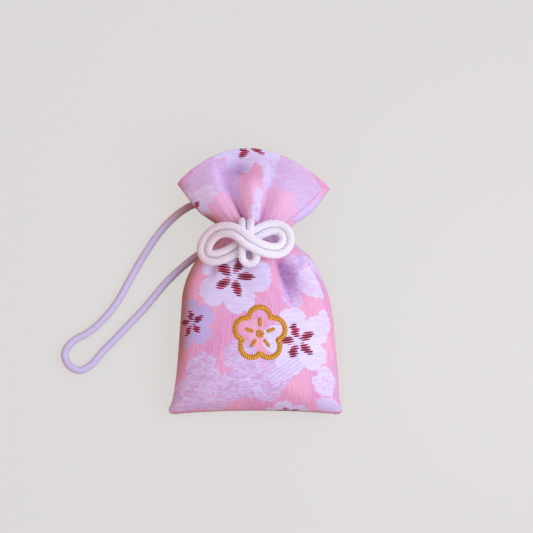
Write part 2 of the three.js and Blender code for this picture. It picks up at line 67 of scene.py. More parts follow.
class Reading:
    """A number worked out by shader nodes. Arithmetic on readings adds Math nodes, so a pattern is a
    formula."""

    def __init__(self, socket):
        self.socket = socket

    def step(self, operation, *others):
        """One Math node on this reading and the others, which are readings or plain numbers."""
        node = self.socket.id_data.nodes.new("ShaderNodeMath")
        node.operation = operation
        for place, value in zip(node.inputs, (self, *others)):
            put(place, value)
        return Reading(node.outputs[0])

    def __add__(self, other):
        return self.step("ADD", other)

    def __sub__(self, other):
        return self.step("SUBTRACT", other)

    def __mul__(self, other):
        return self.step("MULTIPLY", other)

    def __truediv__(self, other):
        return self.step("DIVIDE", other)

    def toward(self, other, share):
        """This reading where the share is 0, and the other where it is 1."""
        return self + (self * -1 + other) * share


def put(place, value):
    """Links a reading to a socket, or writes a plain value on it."""
    if isinstance(value, Reading):
        place.id_data.links.new(value.socket, place)
    else:
        place.default_value = value


def ramp(reading, low, high):
    """0 at low, 1 at high, and a smooth rise between them."""
    node = reading.socket.id_data.nodes.new("ShaderNodeMapRange")
    node.interpolation_type = "SMOOTHSTEP"
    put(node.inputs["Value"], reading)
    node.inputs["From Min"].default_value = low
    node.inputs["From Max"].default_value = high
    return Reading(node.outputs["Result"])


def mixed(share, first, second, blend="MIX"):
    """A colour between two colours, each a reading or four plain numbers, or the first dyed over by the
    second."""
    node = share.socket.id_data.nodes.new("ShaderNodeMix")
    node.data_type = "RGBA"
    node.blend_type = blend
    put(node.inputs[0], share)
    put(node.inputs[6], first)
    put(node.inputs[7], second)
    return Reading(node.outputs[2])


def dye(red, green, blue):
    """A colour as a screen shows it, 0 to 255 each, as the linear numbers that shaders take."""
    shown = np.array([red, green, blue]) / 255
    linear = np.where(shown < 0.04045, shown / 12.92, ((shown + 0.055) / 1.055) ** 2.4)
    return (*linear.tolist(), 1.0)


def part_of(source, place):
    """One coordinate, 0 to 2, of a node's vector output."""
    tree = source.id_data
    node = tree.nodes.new("ShaderNodeSeparateXYZ")
    tree.links.new(source, node.inputs[0])
    return Reading(node.outputs[place])


def seen_directly(tree):
    """1 for what the camera, a reflection or a clear piece shows, 0 for light that falls on the charm."""
    path = tree.nodes.new("ShaderNodeLightPath")
    rays = [Reading(path.outputs[f"Is {kind} Ray"]) for kind in ("Camera", "Glossy", "Transmission")]
    return rays[0].step("MAXIMUM", rays[1]).step("MAXIMUM", rays[2])


def new_finish(name, roughness, specular, sheen=0.0, metallic=0.0):
    """A material with its tree and its main shader, whose constant numbers are set on the shader itself."""
    material = bpy.data.materials.new(name)
    material.use_nodes = True
    shader = material.node_tree.nodes["Principled BSDF"]
    shader.inputs["Roughness"].default_value = roughness
    shader.inputs["Specular IOR Level"].default_value = specular
    shader.inputs["Sheen Weight"].default_value = sheen
    shader.inputs["Metallic"].default_value = metallic
    return material, material.node_tree, shader


def new_piece(name, points, walls, material, ends=()):
    """A smooth mesh piece at the origin, of four-cornered walls and three-cornered ends, turned outwards:
    where the volume that the walls enclose comes out negative, every face is reversed."""
    points = np.asarray(points, float).reshape(-1, 3)
    walls = np.asarray(walls, int)
    ends = np.asarray(ends, int).reshape(-1, 3)
    corner = points[walls]
    outward = np.cross(corner[:, 2] - corner[:, 0], corner[:, 3] - corner[:, 1])
    if np.sum(outward * (corner.mean(axis=1) - points.mean(axis=0))) < 0:
        walls, ends = walls[:, ::-1], ends[:, ::-1]
    mesh = bpy.data.meshes.new(name)
    mesh.from_pydata(points.tolist(), [], walls.tolist() + ends.tolist())
    mesh.polygons.foreach_set("use_smooth", np.ones(len(mesh.polygons), bool))
    mesh.materials.append(material)
    piece = bpy.data.objects.new(name, mesh)
    bpy.context.scene.collection.objects.link(piece)
    return piece


BOARD_COLOUR = dye(224, 223, 219)
BOARD_WARMTH = dye(190, 142, 122)
board_finish, tree, shader = new_finish("pale board", roughness=0.9, specular=0.1)
board_lit = [channel * (1 - BOARD_GLOW) for channel in BOARD_COLOUR[:3]] + [1]
put(shader.inputs["Base Color"], mixed(seen_directly(tree), BOARD_WARMTH, board_lit))
shader.inputs["Emission Color"].default_value = BOARD_COLOUR
put(shader.inputs["Emission Strength"], seen_directly(tree) * BOARD_GLOW)
board_square = np.array([(-1, -1, 0), (1, -1, 0), (1, 1, 0), (-1, 1, 0)])
board_corners = board_square * BOARD_SIZE / 2 - (0, 0, BOARD_DROP)
board = new_piece("board", board_corners, [(0, 1, 2, 3)], board_finish)

ROOM_BROWN = dye(190, 112, 76)
GREY_DAY = dye(222, 218, 234)
BLUE_DAY = dye(208, 209, 250)
BACKDROP = dye(222, 222, 217)
WINDOW_COLOUR = dye(247, 246, 255)
room = bpy.data.worlds.new("room")
room.use_nodes = True
bpy.context.scene.world = room
tree = room.node_tree
direction = tree.nodes.new("ShaderNodeTexCoord").outputs["Generated"]
rightward = part_of(direction, 0)
toward_day = rightward + part_of(direction, 2) * CEILING_SHARE
daylight = mixed(ramp(rightward, *GREY_TO_BLUE), GREY_DAY, BLUE_DAY)
room_light = mixed(ramp(toward_day, *BROWN_TO_DAY), ROOM_BROWN, daylight)
put(tree.nodes["Background"].inputs["Color"], mixed(seen_directly(tree), room_light, BACKDROP))

window = bpy.data.lights.new("window", "AREA")
window.energy = WINDOW_POWER
window.size = WINDOW_SIZE
window.color = WINDOW_COLOUR[:3]
window_stand = bpy.data.objects.new("window", window)
window_stand.location = LOOK_AT + WINDOW_AWAY * WINDOW_FROM.normalized()
window_stand.rotation_euler = WINDOW_FROM.to_track_quat("Z", "Y").to_euler()
bpy.context.scene.collection.objects.link(window_stand)

camera = bpy.data.objects.new("camera", bpy.data.cameras.new("camera"))
camera.data.lens = VIEW_LENS
camera.data.sensor_width = VIEW_SENSOR
camera.data.clip_start = VIEW_START
camera.location = LOOK_AT + VIEW_DISTANCE * Vector((0, -math.cos(VIEW_HEIGHT), math.sin(VIEW_HEIGHT)))
camera.rotation_euler = (LOOK_AT - camera.location).to_track_quat("-Z", "Y").to_euler()
bpy.context.scene.collection.objects.link(camera)
bpy.context.scene.camera = camera
bpy.context.scene.view_settings.view_transform = "Standard"


# The front panel. It is the face of the pouch: pink silk brocade with woven cherry blossoms, cut as one
# piece, sewn to the back panel down both sides and across the foot, and drawn in at the neck so that its
# mouth flares in folds.
BODY_LENGTH = 0.0470
TIP_RISE = 0.0125
RIM_RISE = 0.0206
RIM_CURVE_LEFT = 2.1
RIM_CURVE_RIGHT = 1.2
RIM_DIP = 0.0006
RIM_DIP_WIDE = 0.22
RIM_STEPS = 4
BOTTOM_ARCH = 0.0009
CORNER_ROUND = 0.0014
RIGHT_TIP_DROOP = 0.0013
RIGHT_TIP_START = 0.4
RIGHT_TIP_IN = 0.0009
EDGE_ROUND = 0.0110
SECTION_POWER = 0.9
LUMP_HEIGHT = 0.00016
LUMP_PITCH = 0.0017
LUMP_DRIFT = 0.0031
LUMP_WANDER = 2.1
LUMP_BENDS = 4
LUMPS_ACROSS = 9
CLOTH = 0.0008
CLOTH_SPAN = 0.080
SEAM_PARTING = 0.00015
FOOT_Y = -(BODY_LENGTH + RIM_RISE) / 2
NECK_Y = FOOT_Y + BODY_LENGTH
SIDE_LENGTH = BODY_LENGTH + TIP_RISE
SHOULDER = BODY_LENGTH - 0.0173
UNDER_NECK = BODY_LENGTH - 0.0075


def eased(share):
    """A rise from 0 to 1 that starts and ends level: three squares less two cubes of the share."""
    share = np.clip(share, 0, 1)
    return share * share * (3 - 2 * share)


def smooth_curve(*stations):
    """A curve through (place, size) stations that never overshoots them: cubic pieces whose slope at a
    station is the harmonic mean of the slopes beside it, or level where the curve turns."""
    place, size = np.array(stations).T
    slope = np.diff(size) / np.diff(place)
    both = slope[:-1] * slope[1:]
    inner = np.where(both > 0, 2 * both / np.where(both > 0, slope[:-1] + slope[1:], 1), 0)
    tangent = np.concatenate([slope[:1], inner, slope[-1:]])

    def curve(at):
        i = np.clip(np.searchsorted(place, at) - 1, 0, len(slope) - 1)
        span = place[i + 1] - place[i]
        t = np.clip((at - place[i]) / span, 0, 1)
        rise = eased(t)
        lean = span * t * (1 - t) * ((1 - t) * tangent[i] - t * tangent[i + 1])
        return size[i] * (1 - rise) + size[i + 1] * rise + lean

    return curve


half_width = smooth_curve(
    (0, 0.0229), (0.0045, 0.0216), (0.0130, 0.0208), (SHOULDER, 0.0193), (UNDER_NECK, 0.0156),
    (BODY_LENGTH - 0.0030, 0.0107), (BODY_LENGTH, 0.0084), (BODY_LENGTH + 0.0056, 0.0149),
    (SIDE_LENGTH, 0.0203))
# The body is not quite upright: its middle sways to the right at the belly and to the left at the shoulders
sway = smooth_curve(
    (0, 0), (0.0120, 0.0005), (0.0240, 0.0004), (BODY_LENGTH - 0.0100, -0.0003), (BODY_LENGTH, 0),
    (SIDE_LENGTH, 0))
front_top = smooth_curve(
    (0, 0.0135), (SHOULDER, 0.0135), (UNDER_NECK, 0.0132), (BODY_LENGTH, 0.0123), (SIDE_LENGTH, 0.0174))
back_bottom = smooth_curve(
    (0, -0.0012), (SHOULDER, -0.0012), (BODY_LENGTH - 0.0100, 0), (BODY_LENGTH, 0.0049),
    (SIDE_LENGTH, 0.0042))
seam_height = smooth_curve(
    (0, 0.0034), (0.0130, 0.0054), (UNDER_NECK, 0.0070), (BODY_LENGTH, 0.0086), (SIDE_LENGTH, 0.0102))
# How far the right seam is rolled towards the front, in degrees round the section, up the side
SEAM_ROLL = [
    (0, 2), (0.0100, 10), (0.0240, 20), (BODY_LENGTH - 0.0090, 29), (BODY_LENGTH, 38), (SIDE_LENGTH, 20)]
seam_roll = smooth_curve(*[(place, math.radians(roll)) for place, roll in SEAM_ROLL])

# Folds: height above the neck at the deepest place, across there (-1 left seam, 1 right seam), drift across
# per metre of height, reach below and above, depth (negative stands proud), width to the left and right
FRONT_FOLDS = [
    (0.0020, -0.36, -17, 0.0045, 0.0112, 0.0026, 0.040, 0.10),
    (0.0030, 0.13, 9, 0.0050, 0.0095, 0.0017, 0.030, 0.17),
    (0.0052, -0.06, -8, 0.0052, 0.0050, -0.0006, 0.13, 0.11),
    (0.0096, -0.26, 0, 0.0042, 0.0031, 0.0027, 0.20, 0.22),
    (0.0125, -0.05, 0, 0.0028, 0.0010, -0.0012, 0.40, 0.40),
    (0.0065, -0.72, 0, 0.0060, 0.0060, -0.0009, 0.20, 0.22),
    (0.0050, 0.52, 0, 0.0055, 0.0060, -0.0010, 0.22, 0.22),
    (-0.0112, 0.40, -6.3, 0.0130, 0.0070, 0.0029, 0.04, 0.26),
    (-0.0090, -0.62, 5, 0.0060, 0.0060, 0.0011, 0.10, 0.07),
    (-0.0060, -0.36, 4, 0.0070, 0.0050, -0.0005, 0.10, 0.10),
    (-0.0050, -0.12, 3, 0.0090, 0.0045, 0.0007, 0.06, 0.07),
    (-0.0050, 0.72, -6, 0.0080, 0.0045, 0.0006, 0.06, 0.06),
]
BACK_FOLDS = [
    (0, -0.42, -8, 0.0120, 0.0125, 0.0011, 0.10, 0.12),
    (0, 0.05, 4, 0.0140, 0.0130, 0.0012, 0.10, 0.10),
    (0, 0.47, 8, 0.0120, 0.0125, 0.0011, 0.12, 0.10),
    (0.0060, 0.24, 0, 0.0060, 0.0060, -0.0006, 0.10, 0.10),
    (0.0060, -0.18, 0, 0.0060, 0.0060, -0.0006, 0.10, 0.10),
]
# Flat pleats that lie over their neighbours: lowest and highest place above the neck, left and right edge
# at the neck with their drift across per metre, rise, softness of the left and the right edge
FRONT_PLEATS = [
    (-0.0020, 0.0112, -0.19, -17, 0.11, 9, 0.0019, 0.11, 0.022),
    (-0.0010, 0.0115, -0.82, -6, -0.385, -19.5, 0.0009, 0.15, 0.022),
    (-0.0225, 0.0005, -0.04, 0, 0.28, -6.3, 0.0014, 0.16, 0.018),
]
PLEAT_FADE = 0.33
FOLD_FULL = 0.0026
SEAM_REACH = math.radians(40)
GATHERS = 6.8183
GATHER_DEPTH = 0.00009
GATHER_REACH = 0.0042
PUCKER_PITCH = 0.0034
PUCKER_DEPTH = 0.00022
PUCKER_REACH = 0.12
PUCKER_WANDER = 3
PUCKER_DRIFT = 0.009


def bell(distance):
    """1 at no distance, falling off both ways as the exponential of minus its square."""
    return np.exp(-(distance ** 2))


def signed_power(value, power):
    """A power of the size of a value, with the value's sign."""
    return np.sign(value) * np.abs(value) ** power


def fold_depth(folds, side, across):
    """How far folds sink the cloth: each is a valley with bell-shaped sides along a leaning line, fading
    both ways, with fine gathers at the neck and shallow puckers where the side seams draw the cloth in."""
    height = side - BODY_LENGTH
    gathers = GATHER_DEPTH * np.cos(2 * np.pi * GATHERS * across) * bell(height / GATHER_REACH)
    pucker = np.sin(2 * np.pi * side / PUCKER_PITCH + PUCKER_WANDER * np.sin(side / PUCKER_DRIFT))
    total = gathers + PUCKER_DEPTH * bell((1 - np.abs(across)) / PUCKER_REACH) * pucker
    for middle, place, drift, below, above, depth, left, right in folds:
        away = height - middle
        fade = eased(1 - np.abs(away) / np.where(away < 0, below, above))
        aside = across - (place + drift * away)
        total = total + depth * fade * bell(aside / np.where(aside < 0, left, right))
    return total


def pleat_rise(side, across):
    """How far pleats stand over the front: each is level between two leaning edges, and fades up and down."""
    height = side - BODY_LENGTH
    total = 0 * height * across
    for low, high, left, left_drift, right, right_drift, rise, left_soft, right_soft in FRONT_PLEATS:
        fade = eased(np.minimum(height - low, high - height) / (PLEAT_FADE * (high - low)))
        past_left = np.tanh((across - left - left_drift * height) / left_soft)
        past_right = np.tanh((across - right - right_drift * height) / right_soft)
        total = total + rise * fade * (past_left - past_right) / 2
    return total


def sunk_depth(side, turn):
    """How far folds and pleats sink the cloth at a place, below nothing where they raise it."""
    across = signed_power(np.cos(turn), SECTION_POWER)
    front = fold_depth(FRONT_FOLDS, side, across) - pleat_rise(side, across)
    return np.where(np.sin(turn) >= 0, front, fold_depth(BACK_FOLDS, side, across))


def pouch_point(side, turn, depth=0.0, part=0.0):
    """A point of the pouch: side is the way up the side seam, turn the angle round the section (0 right, a
    quarter turn front, a half turn left). The section is a flattened round from back to front at each
    height, its foot is rounded over, its mouth rises more in the middle than at the tips, and folds sink
    the cloth. depth is how far under the face the point lies, part how far a half is moved off the other at
    the seams."""
    across = signed_power(np.cos(turn), SECTION_POWER)
    rounded_foot = np.sqrt(1 - (1 - np.minimum(side / EDGE_ROUND, 1)) ** 2)
    swell = np.abs(np.sin(turn)) ** SECTION_POWER * rounded_foot
    body = np.minimum(side / BODY_LENGTH, 1)
    mouth = np.maximum(side - BODY_LENGTH, 0) / TIP_RISE
    to_tip = np.clip((across - RIGHT_TIP_START) / (1 - RIGHT_TIP_START), 0, 1)

    bite = np.clip(CORNER_ROUND - side, 0, CORNER_ROUND)
    corner = CORNER_ROUND - np.sqrt(CORNER_ROUND ** 2 - bite ** 2)
    tip_in = RIGHT_TIP_IN * mouth ** 2 * to_tip ** 3
    x = sway(side) + (half_width(side) - corner - depth) * across - tip_in

    foot = FOOT_Y + (depth + BOTTOM_ARCH * (1 - across ** 2)) * (1 - body)
    fall = np.abs(across) ** np.where(across < 0, RIM_CURVE_LEFT, RIM_CURVE_RIGHT)
    rim = RIM_RISE - (RIM_RISE - TIP_RISE) * fall
    dip = RIM_DIP * bell(across / RIM_DIP_WIDE) + RIGHT_TIP_DROOP * eased(to_tip)
    y = foot + body * BODY_LENGTH + mouth * rim - dip * mouth ** 2

    seam = seam_height(side)
    sunk = sunk_depth(side, turn)
    lumps_up = np.sin(side / LUMP_PITCH + LUMP_WANDER * np.sin(across * LUMP_BENDS))
    lumps = LUMP_HEIGHT * lumps_up * np.sin(across * LUMPS_ACROSS + side / LUMP_DRIFT)
    front = seam + (front_top(side) - seam - depth - sunk + lumps) * swell
    back = seam - (seam - back_bottom(side) - depth - sunk) * swell
    z = np.where(np.sin(turn) >= 0, front + part, np.maximum(back + part, depth))
    return np.stack(np.broadcast_arrays(x, y, z), axis=-1)


def left_seam_turn(side):
    """The angle of the left seam round the section: a half turn, all the way up."""
    return np.pi + 0 * side


def right_seam_turn(side):
    """The angle of the right seam, reached round the back: a whole turn and its roll towards the front."""
    return 2 * np.pi + seam_roll(side)


# Each half of the pouch goes from one seam to the other, and is moved a little off the other half there
HALVES = {
    "front": (seam_roll, left_seam_turn, SEAM_PARTING),
    "back": (left_seam_turn, right_seam_turn, -SEAM_PARTING),
}


def way_along(line):
    """The length of a line up to each of its points: the sum of the steps before it."""
    steps = np.linalg.norm(np.diff(line, axis=-2), axis=-1)
    return np.concatenate([0 * steps[..., :1], np.cumsum(steps, axis=-1)], axis=-1)


def keep_number(piece, name, values):
    """Gives each point of a piece a number that its finish can read."""
    numbers = piece.data.attributes.new(name, "FLOAT", "POINT")
    numbers.data.foreach_set("value", np.ravel(values).astype(np.float32))


def cloth_panel(name, material, half, outer, inner, top, rows, columns):
    """A cloth panel from one seam to the other: rows of points up the outer face, round the edge of the rim
    on a half circle, and down the inner face, closed at the foot and along both seams. Its cloth map is the
    way along each row from the middle line, and the way up that line. Its points keep how deep in a fold
    they lie and how near the left seam, 0 to 1 each."""
    from_turn, to_turn, part = HALVES[half]
    side = np.linspace(0, top, rows)[:, None]
    share = np.linspace(0, 1, columns)[None, :]
    turn = from_turn(side) + (to_turn(side) - from_turn(side)) * share
    parting = part * (1 - np.sin(np.pi * share)) ** 2
    face = pouch_point(side, turn, outer, parting)
    lining_side = pouch_point(side, turn, inner, parting)
    middle = (face[-1] + lining_side[-1]) / 2
    across_edge = (face[-1] - lining_side[-1]) / 2
    up_edge = face[-1] - face[-3]
    up_edge /= np.linalg.norm(up_edge, axis=1, keepdims=True)
    up_edge *= np.linalg.norm(across_edge, axis=1, keepdims=True)
    bend = np.linspace(0, np.pi, RIM_STEPS + 2)[1:-1, None, None]
    rim = middle + across_edge * np.cos(bend) + up_edge * np.sin(bend)
    points = np.concatenate([face, rim, lining_side[::-1]])

    count = len(points)
    place = np.arange(count * columns).reshape(count, columns)
    after = np.roll(place, -1, axis=0)
    walls = np.stack([place[:, :-1], place[:, 1:], after[:, 1:], after[:, :-1]], axis=-1).reshape(-1, 4)
    outside, inside = place[:count // 2], place[::-1][:count // 2]
    left_end = np.stack([outside[:-1, 0], outside[1:, 0], inside[1:, 0], inside[:-1, 0]], axis=-1)
    right_end = np.stack([inside[:-1, -1], inside[1:, -1], outside[1:, -1], outside[:-1, -1]], axis=-1)
    panel = new_piece(name, points, np.concatenate([walls, left_end, right_end]), material)

    def over_rim(values):
        """Values of the outer face, carried over the rim and down the inner face."""
        on_rim = np.broadcast_to(values[-1], (RIM_STEPS, *values.shape[1:]))
        return np.concatenate([values, on_rim, values[::-1]])

    along = way_along(face)
    middle_column = np.argmin(np.abs(np.cos(turn)), axis=1)[:, None]
    from_middle = along - np.take_along_axis(along, middle_column, axis=1)
    middle_x = np.take_along_axis(face[..., 0], middle_column, axis=1)
    toward_right = np.sign(face[:, -1:, 0] - face[:, :1, 0])
    flat_x = toward_right * from_middle + middle_x
    height = way_along(face[:, columns // 2])[:, None]
    flat = np.stack(np.broadcast_arrays(flat_x / CLOTH_SPAN + 0.5, height / CLOTH_SPAN), axis=-1)
    corners = np.empty(len(panel.data.loops), int)
    panel.data.loops.foreach_get("vertex_index", corners)
    layer = panel.data.uv_layers.new(name="cloth")
    layer.data.foreach_set("uv", over_rim(flat).reshape(-1, 2)[corners].ravel())
    # The fold depth drives painted shade in the brocade's folds, and the nearness to the left seam its
    # painted warm shade.
    keep_number(panel, "fold", over_rim(np.clip(sunk_depth(side, turn) / FOLD_FULL, 0, 1)))
    keep_number(panel, "left_seam", over_rim(np.clip(1 - np.abs(turn - np.pi) / SEAM_REACH, 0, 1)))
    return panel


def kept_number(tree, name):
    """A number that the points of a mesh keep."""
    node = tree.nodes.new("ShaderNodeAttribute")
    node.attribute_name = name
    return Reading(node.outputs["Fac"])


def cloth_place(tree):
    """Where a place lies on the flat cloth, in millimetres across from the middle and up from the foot."""
    cloth_map = tree.nodes.new("ShaderNodeUVMap")
    cloth_map.uv_map = "cloth"
    across = (part_of(cloth_map.outputs[0], 0) - 0.5) * (CLOTH_SPAN * 1000)
    up = part_of(cloth_map.outputs[0], 1) * (CLOTH_SPAN * 1000)
    return across, up


def raise_surface(shader, height, strength, distance):
    """Lets a finish look raised by a reading: how clearly it shows, and how far in metres it stands out."""
    tree = shader.id_data
    bump = tree.nodes.new("ShaderNodeBump")
    bump.inputs["Strength"].default_value = strength
    bump.inputs["Distance"].default_value = distance
    put(bump.inputs["Height"], height)
    tree.links.new(bump.outputs[0], shader.inputs["Normal"])


# Threads and rows of the brocade, in millimetres
WARP_PITCH = 0.34
WARP_LEAN = 0.05
WEFT_PITCH = 0.42
STAMEN_PITCH = 0.64
RIBBON_PITCH = 0.90
DASH_LENGTH = 2.6
LACE_DASH = 1.1
ROW_SLOPE = 0.2
ROW_BEND = 4.0
FRINGE = 0.7
# A blossom, in shares of its radius: the petals' reach, how far they draw in beside each other, the notch
# at their tips, and the middle, half length and half width of a stamen
PETALS = 5
PETAL_ANGLE = 2 * math.pi / PETALS
PETAL_HALF_ANGLE = 0.63
PETAL_REACH = 0.96
PETAL_GAP = 0.33
PETAL_FULLNESS = 3.0
PETAL_WANDER = 0.08
PETAL_EDGE = (-0.02, 0.02)
NOTCH_DEPTH = 0.07
NOTCH_SHARPNESS = 6
STAMEN_MIDDLE = 0.325
STAMEN_HALF_LONG = 0.215
STAMEN_HALF_WIDE = 0.120
STAMEN_POINTED = 1.6
STAMEN_RAGGED = 0.2
STAMEN_SIZE = 1.15
STAMEN_THINNING = 3.0
STAMEN_FALL = 0.6
STAMEN_EDGE = (-0.06, 0.07)
LOOSE_WANDER = 0.9
LOOSE_EDGE = (1.50, 1.42)
SPRAY_WANDER = 0.5
SPRAY_EDGE = (1.28, 1.16)
RIBBON_EDGE = 0.1
# Soft random patches: how many to a millimetre across and up, and how many finer layers they have
PETAL_PATCHES = (0.3, 0.3, 2)
LOOSE_PATCHES = (0.45, 0.45, 2)
SPRAY_PATCHES = (0.4, 0.4, 2)
SALMON_PATCHES = (0.09, 0.07, 2)
PALE_PATCHES = (0.25, 0.15, 3)
LACE_GAPS = (0.75, 1.1, 2)
# Winding lines: how many to a millimetre, which layout of many, and where they are full and gone
LACE_LINES = {"scale": 0.26, "shift": 0, "edge": (0.010, 0.035)}
PETAL_LINES = {"scale": 0.5, "shift": 5, "edge": (0.012, 0.05)}
LINE_SQUEEZE = 1.25
# Between which two readings a colour goes from none to full
SALMON_EDGE = (0.35, 0.65)
LACE_GAP_EDGE = (0.46, 0.62)
WARM_SHADE_EDGE = (0.0, 0.65)
SHADE_EDGE = (0.1, 1.1)
# Shares, 0 to 1, in which a colour shows over the one below it
PALE_WARP_SHARE = 0.55
PALE_PATCH_SHARE = 0.4
PAINTED_LIGHT_SHARE = 0.75
PALE_LESS = 0.1
LACE_WHITE_SHARE = 0.7
LACE_GAP_SHARE = 0.55
LACE_THREAD_SHARE = 0.15
LACE_LINE_SHARE = 0.4
LACE_PALE_AND_LIGHT_SHARE = 0.6
PETAL_WHITE_SHARE = 0.85
PETAL_PATCH_SHARE = 0.3
PETAL_DASH_SHARE = 0.3
PETAL_LINE_SHARE = 0.5
STRIPE_SHARE = 0.6
STRIPE_LEAST = 0.3
RIBBON_SHARE = 0.8
WARM_SHADE_SHARE = 0.88
SHADE_SHARE = 0.62
# How far weft floats and stamens stand out, where a warp thread stands out by 1
FLOAT_RISE = 1.2
FLOAT_LEAST = 0.4
STAMEN_RISE = 0.8
# Where the colours change up the cloth, in millimetres from the foot: painted light above the neck, the lace
# paler in the mouth in part by painted light, and painted warm shade up the left seam
PAINTED_LIGHT_IN = (50.0, 57.0)
PAINTED_LIGHT_OUT = (71.0, 63.0)
LACE_PALES_AND_LIGHT = (56.0, 64.0)
WARM_SHADE_IN = (11.0, 25.0)
WARM_SHADE_OUT = (63.0, 59.0)
PINK = dye(226, 152, 202)
PALE_PINK = dye(246, 194, 223)
SALMON = dye(246, 172, 192)
LAVENDER = dye(200, 186, 238)
WHITE = dye(238, 230, 254)
LACE = dye(203, 178, 228)
# The pale lace of the mouth, in part painted light
PALE_LACE_AND_LIGHT = dye(228, 198, 234)
# Painted warm shade up the left seam
PAINTED_WARM_SHADE = dye(184, 118, 88)
STAMEN_RED = dye(110, 0, 36)
BRIGHT_RED = dye(190, 4, 60)
# Painted shade, multiplied into the colours down in the folds
FOLD_SHADE = dye(164, 90, 160)
# Blossoms on the cloth, in millimetres across and up: middle, radius, turn in degrees, and how white it is
FRONT_BLOSSOMS = [
    (-5.7, 39.7, 10.0, -2, 0.9),
    (10.9, 22.9, 9.0, 32, 1.0),
    (-17.0, 28.1, 6.6, 26, 0.0),
    (-2.0, 78.5, 9.6, 34, 0.85),
    (-22.6, 64.0, 7.6, 20, 1.0),
    (8.4, 0.6, 6.0, 32, 0.9),
]
# Loose petals without stamens: middle, half width, half height, and how white
FRONT_PETALS = [
    (18.4, 13.0, 3.5, 3.9, 0.9),
    (18.0, 28.2, 2.4, 3.4, 1.0),
    (19.5, 5.5, 3.7, 3.4, 0.6),
    (17.6, 38.8, 3.8, 4.2, 0.9),
    (1.6, 61.8, 2.0, 3.0, 1.0),
    (-16.2, 66.0, 3.2, 2.8, 1.0),
    (3.8, 69.5, 1.9, 5.0, 0.7),
    (0.8, 57.2, 2.7, 2.7, 1.0),
    (5.6, 51.5, 3.0, 2.4, 1.0),
    (-6.0, 64.0, 1.2, 4.2, 0.3),
]
# Cloud-like sprays of small blossoms: middle and radius
FRONT_SPRAYS = [
    (-14.0, 15.5, 4.8), (-18.8, 8.2, 5.8), (-10.8, 7.0, 5.0), (-4.0, 18.9, 4.4), (-1.3, 13.2, 5.6),
    (4.6, 14.4, 5.0), (3.0, 9.5, 3.5), (-6.5, 10.6, 4.2), (9.4, 17.2, 3.0), (10.8, 38.0, 4.4),
    (12.4, 43.0, 3.6), (10.2, 34.7, 3.1), (9.5, 71.2, 5.8), (14.5, 70.4, 5.8), (19.2, 68.8, 4.6),
    (16.4, 64.6, 3.8), (-13.5, 71.4, 5.8), (-18.0, 70.2, 5.2), (-9.0, 68.0, 4.4),
]
# Striped ribbons that trail out of the sprays: from, to, and half width
FRONT_RIBBONS = [(4.0, 12.4, 12.0, 17.8, 1.7)]


